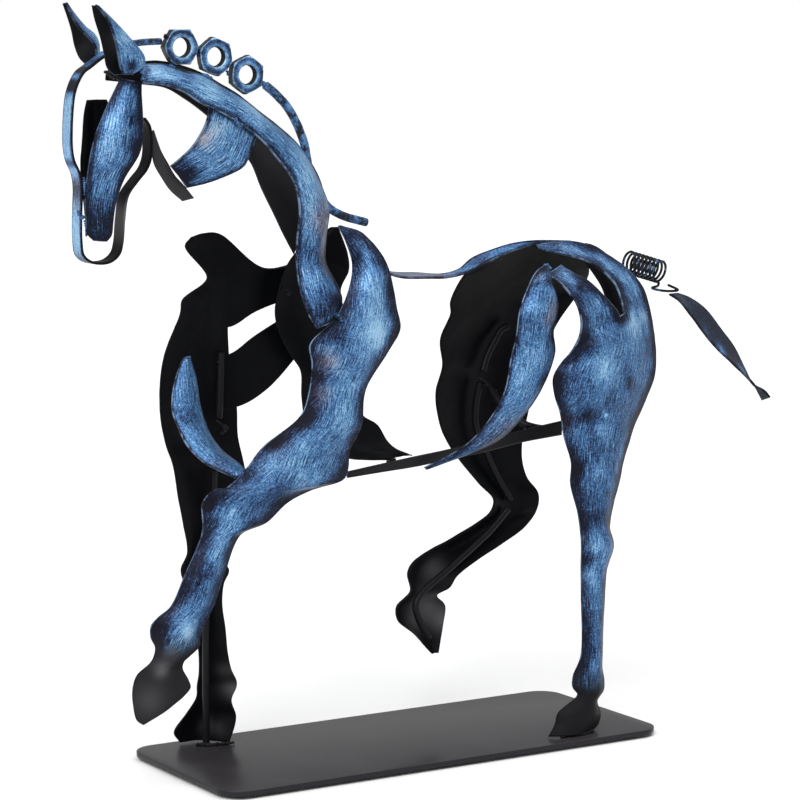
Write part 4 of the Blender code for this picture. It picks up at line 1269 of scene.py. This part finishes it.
HIND_SPOTS = [
    (76, 236, 10.5, 0.26, 0), (94, 232, 8.6, 0.24, 0), (111, 227, 7.6, 0.24, 0),
    (126, 219, 6.2, 0.2, 0), (130, 208, 4.3, -0.12, 0), (129, 200, 4.8, 0.32, 0.35),
    (135, 193, 3.8, 0.22, 0.8), (134, 178, 4.3, 0, 0.6), (80, 225, 5.7, 0.22, 0),
    (84, 216, 2.9, -0.35, 0), (93, 209, 5.2, 0.2, 0), (106, 202, 2.9, -0.38, 0),
    (83, 191, 5.7, -0.36, 0), (117, 197, 6.5, 0.34, 0.15), (91, 178, 7, 0.26, 0),
    (109, 171, 4.3, -0.2, 0), (69, 181, 3.3, 0.14, 0), (67, 174, 3.3, -0.3, 0.3),
    (93, 156, 1, 0.6, 0), (83, 156, 4.3, -0.3, 0), (94, 148, 4.8, 0.22, 0),
    (74, 154, 4.3, -0.2, 0.7), (119, 154, 4.8, 0.02, 0.75), (90, 130, 4.8, 0.14, 0),
    (79, 130, 3.3, -0.25, 0.5), (108, 127, 3.8, -0.1, 0.6), (83, 78, 6, 0.16, 0),
    (81, 64, 6, 0.16, 0), (86, 94, 6, 0.26, 0), (86, 107, 4, -0.15, 0),
    (96, 104, 3.3, -0.2, 0.5), (78, 106, 2.9, -0.25, 0.5),
]
hind_blue = patina("blued_hind_leg", base=-0.06, fade=8, black_below=30)
hind_rows = bowed(NEAR_HIND_LEG, NEAR, columns=4)
fit_sheet(
    "near_hind_leg",
    "sheet",
    hind_rows,
    hind_blue,
    "blue_patina",
    NEAR,
    holes=SLIT,
    spots=HIND_SPOTS,
    soften=8,
)

# Far hind leg: haunch, hock and raised hoof from one sheet, beaten hollow like the near one.
# Its hollow side is black, and its outer side is brushed blue down to the hoof.
FAR_HIND_LEG = [
    [(47.5, 4.5, 225.5), (71, 4, 235.8), (102, 4.2, 230.5)],
    [(43, 10, 222), (78, 16, 222), (114.7, 9, 223.3)],
    [(40, 18, 209), (81, 26, 208), (119.5, 18, 214.5)],
    [(42, 21, 202), (80, 30, 198), (115.5, 22, 206)],
    [(38, 24, 190), (78, 34, 186), (108.4, 27, 193)],
    [(40, 25, 177), (76, 36, 173), (102, 29, 178)],
    [(37, 26, 165), (73, 37, 161), (97, 30, 162)],
    [(38, 27, 155), (70, 37, 151), (94, 31, 148)],
    [(42, 28, 144), (71, 37, 139), (91, 31, 136)],
    [(52, 28, 129), (76, 37, 125), (91, 31, 126)],
    [(63, 28, 117), (83, 36, 115), (94, 31, 117)],
    [(72, 28, 108), (91, 36, 106), (101, 31, 108)],
    [(70, 28, 102), (90, 36, 98), (100, 31, 100)],
    ((62, 28, 97), (92, 30, 92)),
    ((48, 28, 91), (79, 30, 85)),
    ((35, 28, 86), (64, 30, 78)),
    ((25, 28, 81), (51, 29, 71)),
    ((22, 28, 76), (47, 29, 66)),
    ((23, 27, 67), (39, 28, 63)),
    ((15, 27, 60), (43, 27, 58)),
    ((15, 26, 54), (42, 27, 49)),
    ((24.5, 26, 46), (40, 26, 42)),
    ((34.5, 25, 35), (38, 25, 35)),
]
# Painted highlights on the black hock and hoof.
FAR_HIND_HIGHLIGHTS = [
    (32, 59, 7, 0.55, 0), (40, 75, 6.5, 0.35, 0), (42, 51, 6, 0.4, 0), (27, 50, 6, 0.3, 0),
]
far_hind_blue = patina("blued_far_hind_leg", black_below=66, worn_edge=0)
far_hind_rows = bowed(FAR_HIND_LEG, FAR)
fit_sheet(
    "far_hind_leg", "sheet", far_hind_rows, far_hind_blue, "black_paint", FAR, spots=FAR_HIND_HIGHLIGHTS
)

# Rump strip: a short strip of sheet from the croup down behind the tail, on the far side.
# It is bowed outward, black inside and brushed blue outside.
RUMP_STRIP = [
    ((101, 3, 235.5), (105.5, 9, 231.5)),
    ((113, 3.5, 234), (111.5, 11, 227)),
    ((125.5, 5, 227.5), (120, 13, 219.5)),
    ((137.5, 7.5, 220), (127.5, 15, 211)),
    ((145.5, 8, 211), (132, 16, 201)),
    ((147.5, 8, 202), (135.5, 17, 192.5)),
]
fit_sheet("rump_strip", "sheet", bowed(RUMP_STRIP, FAR), far_strip_blue, "black_paint", FAR)

# Near flank: a long leaf of sheet from the croup down to a point beside the belly bar, brushed
# lengthways, with plum-grey scuffs near its top and towards its lower end.
NEAR_FLANK = [
    ((69, -22, 228.7), (69.5, -22, 227.5)),
    ((60, -25, 225), (69, -26, 219)),
    ((54, -27, 218), (70, -29, 212)),
    ((49, -28, 208), (69, -30, 205)),
    ((47, -28, 196), (67, -30, 197)),
    ((44, -28, 185), (68, -30, 187)),
    ((41, -28, 171), (61, -30, 171)),
    ((36, -26, 160), (51, -28, 157)),
    ((28, -21, 148), (41, -22, 146)),
    ((21, -13, 140), (29, -13, 139)),
    ((11, -4, 133), (12, -4, 132)),
]
FLANK_SPOTS = [
    (60, 225, 4.3, 0, 0.9), (65, 227, 2.4, -0.4, 0.2), (64, 216, 4.3, 0.12, 0),
    (57, 209, 4.8, 0.16, 0), (66, 208, 4.3, 0.22, 0.95), (62, 203, 3.8, 0.12, 0.9),
    (67, 196, 3.8, -0.38, 0), (68, 191, 3.3, -0.36, 0), (51, 188, 7, 0.15, 0),
    (49, 178, 5.2, 0.12, 0), (44, 152, 7.1, 0.1, 0.85), (36, 144, 6.7, 0.05, 0.8),
    (66, 220, 2.4, -0.3, 0.3), (60, 174, 3.3, -0.2, 0.3), (39, 166, 4.8, 0.08, 0),
]
flank_blue = patina("blued_flank", base=-0.09, fade=3, plum=0.4)
fit_sheet(
    "near_flank", "sheet", bowed(NEAR_FLANK, NEAR), flank_blue, "blue_patina", NEAR, spots=FLANK_SPOTS
)

# Belly bar: a 2 mm strip on edge that ties the fore and hind legs, and the bent rod that reaches
# from it to the far haunch. Both are plain blackened steel.
BELLY_BAR = [
    ((-30, -2, 134), (-30, -2, 131)),
    ((-11, -1, 136), (-11, -1, 132)),
    ((9, 0, 138), (9, 0, 133)),
    ((28, 0, 140), (28, 0, 135)),
    ((48, 0, 143), (48, 0, 137)),
    ((69, 0, 146), (69, 0, 140)),
    ((93, 0, 149), (93, 0, 142)),
]
BELLY_THICK = 2
BELLY_ROD = [
    (69.5, 27.5, 163.5), (69.5, 20, 157.5), (71, 14, 153.5), (75.5, 10, 148.5),
    (78.5, 6, 146.5), (85.5, 5, 145), (96, 4, 145.5),
]
ROD = 4
belly_steel = dark_metal("black_bar", shade=(0.008, 0.0077, 0.009))
fit_sheet(
    "belly_bar", "strip", BELLY_BAR, belly_steel, "dark_steel", NEAR, thick=BELLY_THICK, dent=0.08
)
black_steel = dark_metal("black_rod", shade=(0.0045, 0.0045, 0.006), rough=0.4)
settle(bar("belly_rod_bar", BELLY_ROD, black_steel, ROD), "dark_steel", "belly_rod")

# Leg rods: 3.4 mm round bar welded down the hollow of each far leg to stiffen it, in two lengths
# in the foreleg and three in the hind leg. They are black like the sheet round them.
LEG_ROD = 3.4
FAR_RODS = {
    "far_foreleg_rod_upper": [(-80, 28.5, 190), (-80, 29.5, 174.5), (-80.5, 30, 159)],
    "far_foreleg_rod_lower": [(-83, 30.5, 134.5), (-83, 31, 125.5), (-86.5, 33, 66), (-85.5, 36, 3.1)],
    "far_hind_rod_upper": [
        (79.5, 26.5, 194), (76, 27.5, 192.5), (73, 28.5, 187.5), (68.5, 29, 179.5), (65.5, 28.5, 172),
    ],
    "far_hind_rod_middle": [
        (65, 30, 166.5), (63.5, 31, 156.5), (63, 31, 147.5), (66, 31, 138), (71, 31, 128.5),
        (76.5, 31, 118), (83.5, 30, 106.5),
    ],
    "far_hind_rod_lower": [
        (81, 28.5, 102.5), (71, 28.5, 93), (47, 28, 76.5), (28, 26.5, 64.5), (25, 25.5, 59.5),
        (27.5, 25, 51), (32, 24, 43),
    ],
}
for name, points in FAR_RODS.items():
    settle(bar(f"{name}_bar", points, black_steel, LEG_ROD, wobble=0.3), "dark_steel", name)

# Tail spring: an open coil of 1.3 mm spring wire behind the croup, whose last turn is pulled out
# into a hook. It is black, with a little blue caught on it.
WIRE = 1.3
COIL_OUTER = 12
COIL_LENGTH = 22
COIL_TURNS = 9
COIL_START = Vector((131.5, 0, 225.3))
COIL_AXIS = Vector((0.96, 0, -0.28)).normalized()
COIL_UP = Vector((0.28, 0, 0.96)).normalized()
COIL_POINTS = 28
HOOK = [(-0.4, 0, -1.4), (-4.1, 0, -2.4), (4, 0, -4.3), (12, 0, -4.2), (5.8, 0, -1.4)]
coil = []
for i in range(COIL_TURNS * COIL_POINTS + 1):
    turn = 2 * math.pi * i / COIL_POINTS
    along = COIL_LENGTH * i / (COIL_TURNS * COIL_POINTS)
    out = COIL_UP * math.cos(turn + math.pi) + Vector((0, 1, 0)) * math.sin(turn + math.pi)
    coil.append(COIL_START + COIL_AXIS * along + out * (COIL_OUTER - WIRE) / 2)
hook = [coil[-1] + Vector(p) for p in HOOK]
spring_steel = dark_metal("black_spring", blue=0.22, shade=(0.003, 0.003, 0.0045), rough=0.35)
tail_spring = bar("tail_spring_wire", coil + hook, spring_steel, WIRE, wobble=0, sides=14, spacing=0.4)
settle(tail_spring, "dark_steel", "tail_spring")

# Tail ribbon: a tapering strip of sheet hung from the hook and twisted once near its tip.
# It is nearly black, with a few light marks where the brush caught it.
TAIL_RIBBON = [
    [(156, -2, 208.2), (164, 2, 208)],
    [(160.5, -4, 205), (173.5, 4, 205)],
    [(166.5, -6, 197.5), (184, 5, 199)],
    [(174.5, -6, 188.5), (195, 6, 188)],
    [(183.5, -6, 179.5), (203.5, 6, 178.5)],
    [(193, -5, 172.5), (209.5, 5, 167.5)],
    [(203, -3, 165.5), (212, 2.5, 160.5)],
    [(211.5, -0.3, 159.5), (212.8, 0.3, 158.5)],
    [(217.5, 3, 154), (217, -2.5, 156)],
    [(221.5, 5, 150), (219.5, -4, 152.5)],
]
RIBBON_SPOTS = [
    (186, 177, 5, 0.42, 0), (176, 187, 5, 0.25, 0), (203, 165, 5, 0.4, 0), (163, 205, 6, 0.15, 0.8),
]
ribbon_blue = patina("blued_ribbon", base=-0.56, fade=1.5, stroke=0.6, plum=0.4, worn_edge=0.15)
fit_sheet(
    "tail_ribbon",
    "sheet",
    TAIL_RIBBON,
    ribbon_blue,
    "blue_patina",
    NEAR,
    dent=0.1,
    spots=RIBBON_SPOTS,
    spacing=0.8,
)

# Welds: beads of arc weld at the joints, a few drops in a row or round a foot. Those that were brushed
# over with the sheet they sit on are blue, and the rest stay black.
DROP_LUMPS = 800.0
DROP_LEAST = (0.6, 0.6, 0.6)
DROP_MOST = (1.25, 1.25, 1.25)
weld_tree = Tree("weld_bead", Bead="Float", Spacing="Float", Seed="Int", Material="Material")
weld_in = weld_tree.start.outputs
drop_spots = weld_tree.node(
    "GeometryNodeCurveToPoints",
    {"mode": "LENGTH"},
    {0: weld_in["Geometry"], "Length": weld_in["Spacing"]},
)
drop = weld_tree.node("GeometryNodeMeshIcoSphere", {}, {"Radius": weld_in["Bead"], "Subdivisions": 3})
drop_size = weld_tree.node(
    "FunctionNodeRandomValue",
    {"data_type": "FLOAT_VECTOR"},
    {"Min": DROP_LEAST, "Max": DROP_MOST, "Seed": weld_in["Seed"]},
)
drops = weld_tree.node(
    "GeometryNodeInstanceOnPoints", {}, {0: drop_spots, "Instance": drop, "Scale": drop_size}
)
drops_real = weld_tree.node("GeometryNodeRealizeInstances", {}, {0: drops})
weld_tree.finish(weld_tree.shaken(drops_real, DROP_LUMPS, weld_in["Bead"]), weld_in["Material"])
BLACK_WELDS = [
    [(-82.7, 28, 158.1), (-80.6, 28, 156.6), (-77.9, 28, 154.5), (-79.8, 28.5, 152.2)],
    [(-81.4, 28, 185.7), (-79.8, 28, 186.5)],
    [(-5.2, 2, 136.1), (-1.9, 2, 136.8)],
    [(-49.4, 20, 218.4), (-47.3, 20, 217.3), (-48.4, 20, 216.4)],
    [(63.8, 29, 168.9), (66.7, 29, 167.3), (69, 28, 164.7), (72.6, 28, 162)],
    [(74.2, 4, 147.3), (79.5, 4, 145.9), (86, 4, 144.5), (92, 4, 143.6)],
    [(-153.5, -4, 320.9), (-151.6, -6, 319.2), (-148.2, -6, 317.8)],
    [(-152.5, 4.5, 327.5), (-152.3, 6.5, 327), (-152.3, 9, 326.2)],
    [(-122.3, 0, 336.4), (-120.8, 0, 335.5), (-121.3, 0, 334.6)],
    [(-90, 36, 3.2), (-85.5, 32.5, 3.2), (-80, 31, 3.2), (-74, 30.5, 3.2)],
    [(66, -41.5, 3.2), (72, -42.5, 3.2), (78, -42.3, 3.2), (84, -40.5, 3.2)],
]
BLUE_WELDS = [
    [(-52.9, -30, 211.5), (-52, -32, 210.3), (-49.8, -31, 209.1)],
    [(-97.5, -16, 300.6), (-95.8, -16.5, 298.9), (-94.1, -17, 296.6)],
    [(-167.9, -5, 259.7), (-166.6, -5.2, 257.9)],
    [(-104.3, -2.5, 319.1), (-101.2, -2.5, 317.7)],
    [(67.5, -23, 228), (68.8, -23.5, 226.6)],
    [(-73.6, 0, 315.6), (-71.4, 0, 313.7)],
    [(-138.4, -9, 322.6), (-138.5, -11, 320), (-139.5, -12, 317.8)],
]
BLUE_TACKS = [
    [(-165.3, -5, 274.9), (-164.9, -5, 271.4), (-164.9, -5, 267.9)],
    [(-164.7, -5, 264.4), (-164.5, -5, 260.9)],
    [(-165.1, -5, 256.1), (-164.7, -5, 253), (-164.5, -5, 250)],
    [(-106.6, 0, 329.7), (-105.9, 0, 327.5)],
    [(-91.5, 0, 321.6), (-90.7, 0, 319.3)],
    [(-121.3, -2.5, 323.2), (-119.3, -2.5, 322.7)],
    [(-73.1, -0.5, 314.6), (-72, -0.5, 314.2)],
]
weld_blue = dark_metal("blued_weld", blue=0.8, shade=(0.010, 0.010, 0.014))
weld_black = dark_metal("black_weld", shade=(0.006, 0.006, 0.0075), rough=0.35)
# Each kind of weld: its rows, how big a drop is, how far apart the drops are, and its finish.
WELDS = {
    "black_welds": (BLACK_WELDS, 1.0, 1.3, weld_black),
    "blue_welds": (BLUE_WELDS, 1.2, 1.4, weld_blue),
    "blue_tacks": (BLUE_TACKS, 0.65, 1.0, weld_blue),
}
for name, (lines, bead, spacing, material) in WELDS.items():
    beads = weld_tree.made_on(
        path_of(name, lines), name, Bead=bead * MM, Spacing=spacing * MM, Seed=7, Material=material
    )
    beads.data.shade_smooth()
    settle(beads, "dark_steel")

# Studio: a white floor and a white surround, one soft sun from the upper left in front and one from
# straight above, and the camera at the height and distance of a table-top photograph.
FLOOR_REACH = 6
FLOOR_SHADE = (0.90, 0.90, 0.90)
FLOOR_LIGHT = (0.92, 0.92, 0.92)
floor_shape = bmesh.new()
bmesh.ops.create_grid(floor_shape, x_segments=1, y_segments=1, size=FLOOR_REACH)
pale = Finish("pale_floor")
floor_speck = pale.cloud(pale.place(), 3, 2)
pale.set(colour=pale.mix(floor_speck, FLOOR_SHADE, FLOOR_LIGHT), rough=0.9, specular=0.0)
floor = piece_from(floor_shape, "floor", pale.material)

world = bpy.data.worlds.new("studio")
bpy.context.scene.world = world
world.use_nodes = True
sky = world.node_tree
seen = sky.nodes.new("ShaderNodeLightPath").outputs["Is Camera Ray"]
strength = sky.nodes.new("ShaderNodeMapRange")
strength.inputs["To Min"].default_value = 0.5
strength.inputs["To Max"].default_value = 1.0
sky.links.new(seen, strength.inputs["Value"])
sky.nodes["Background"].inputs["Color"].default_value = (1, 1, 1, 1)
sky.links.new(strength.outputs["Result"], sky.nodes["Background"].inputs["Strength"])


def soft_sun(name, spot, spread, power):
    """A wide soft light that falls evenly from this direction."""
    lamp = bpy.data.lights.new(name, "SUN")
    lamp.angle = math.radians(spread)
    lamp.energy = power
    holder = placed(name, lamp)
    holder.location = spot
    holder.rotation_euler = Vector(spot).to_track_quat("Z", "Y").to_euler()


soft_sun("key_light", spot=(-1.2, -0.9, 1.3), spread=40, power=1.9)
soft_sun("top_light", spot=(0.3, -0.2, 1.5), spread=70, power=1.3)

FOCAL_PIXELS = 3003.2
PICTURE_PIXELS = 800
SENSOR = 36
SWING = math.radians(-31.74)
DIP = math.radians(7.27)
DISTANCE = 1417.3
LOOKED_AT = (0.22, 0, 165.46)
back = Vector((math.sin(SWING) * math.cos(DIP), -math.cos(SWING) * math.cos(DIP), math.sin(DIP)))
right = Vector((math.cos(SWING), math.sin(SWING), 0))
up = back.cross(right)
lens = bpy.data.cameras.new("camera")
lens.sensor_width = SENSOR
lens.lens = FOCAL_PIXELS / PICTURE_PIXELS * SENSOR
camera = placed("camera", lens)
facing = Matrix((right, up, back)).transposed().to_4x4()
camera.matrix_world = Matrix.Translation(at(LOOKED_AT) + back * DISTANCE * MM) @ facing
bpy.context.scene.camera = camera
bpy.context.scene.view_settings.view_transform = "Standard"
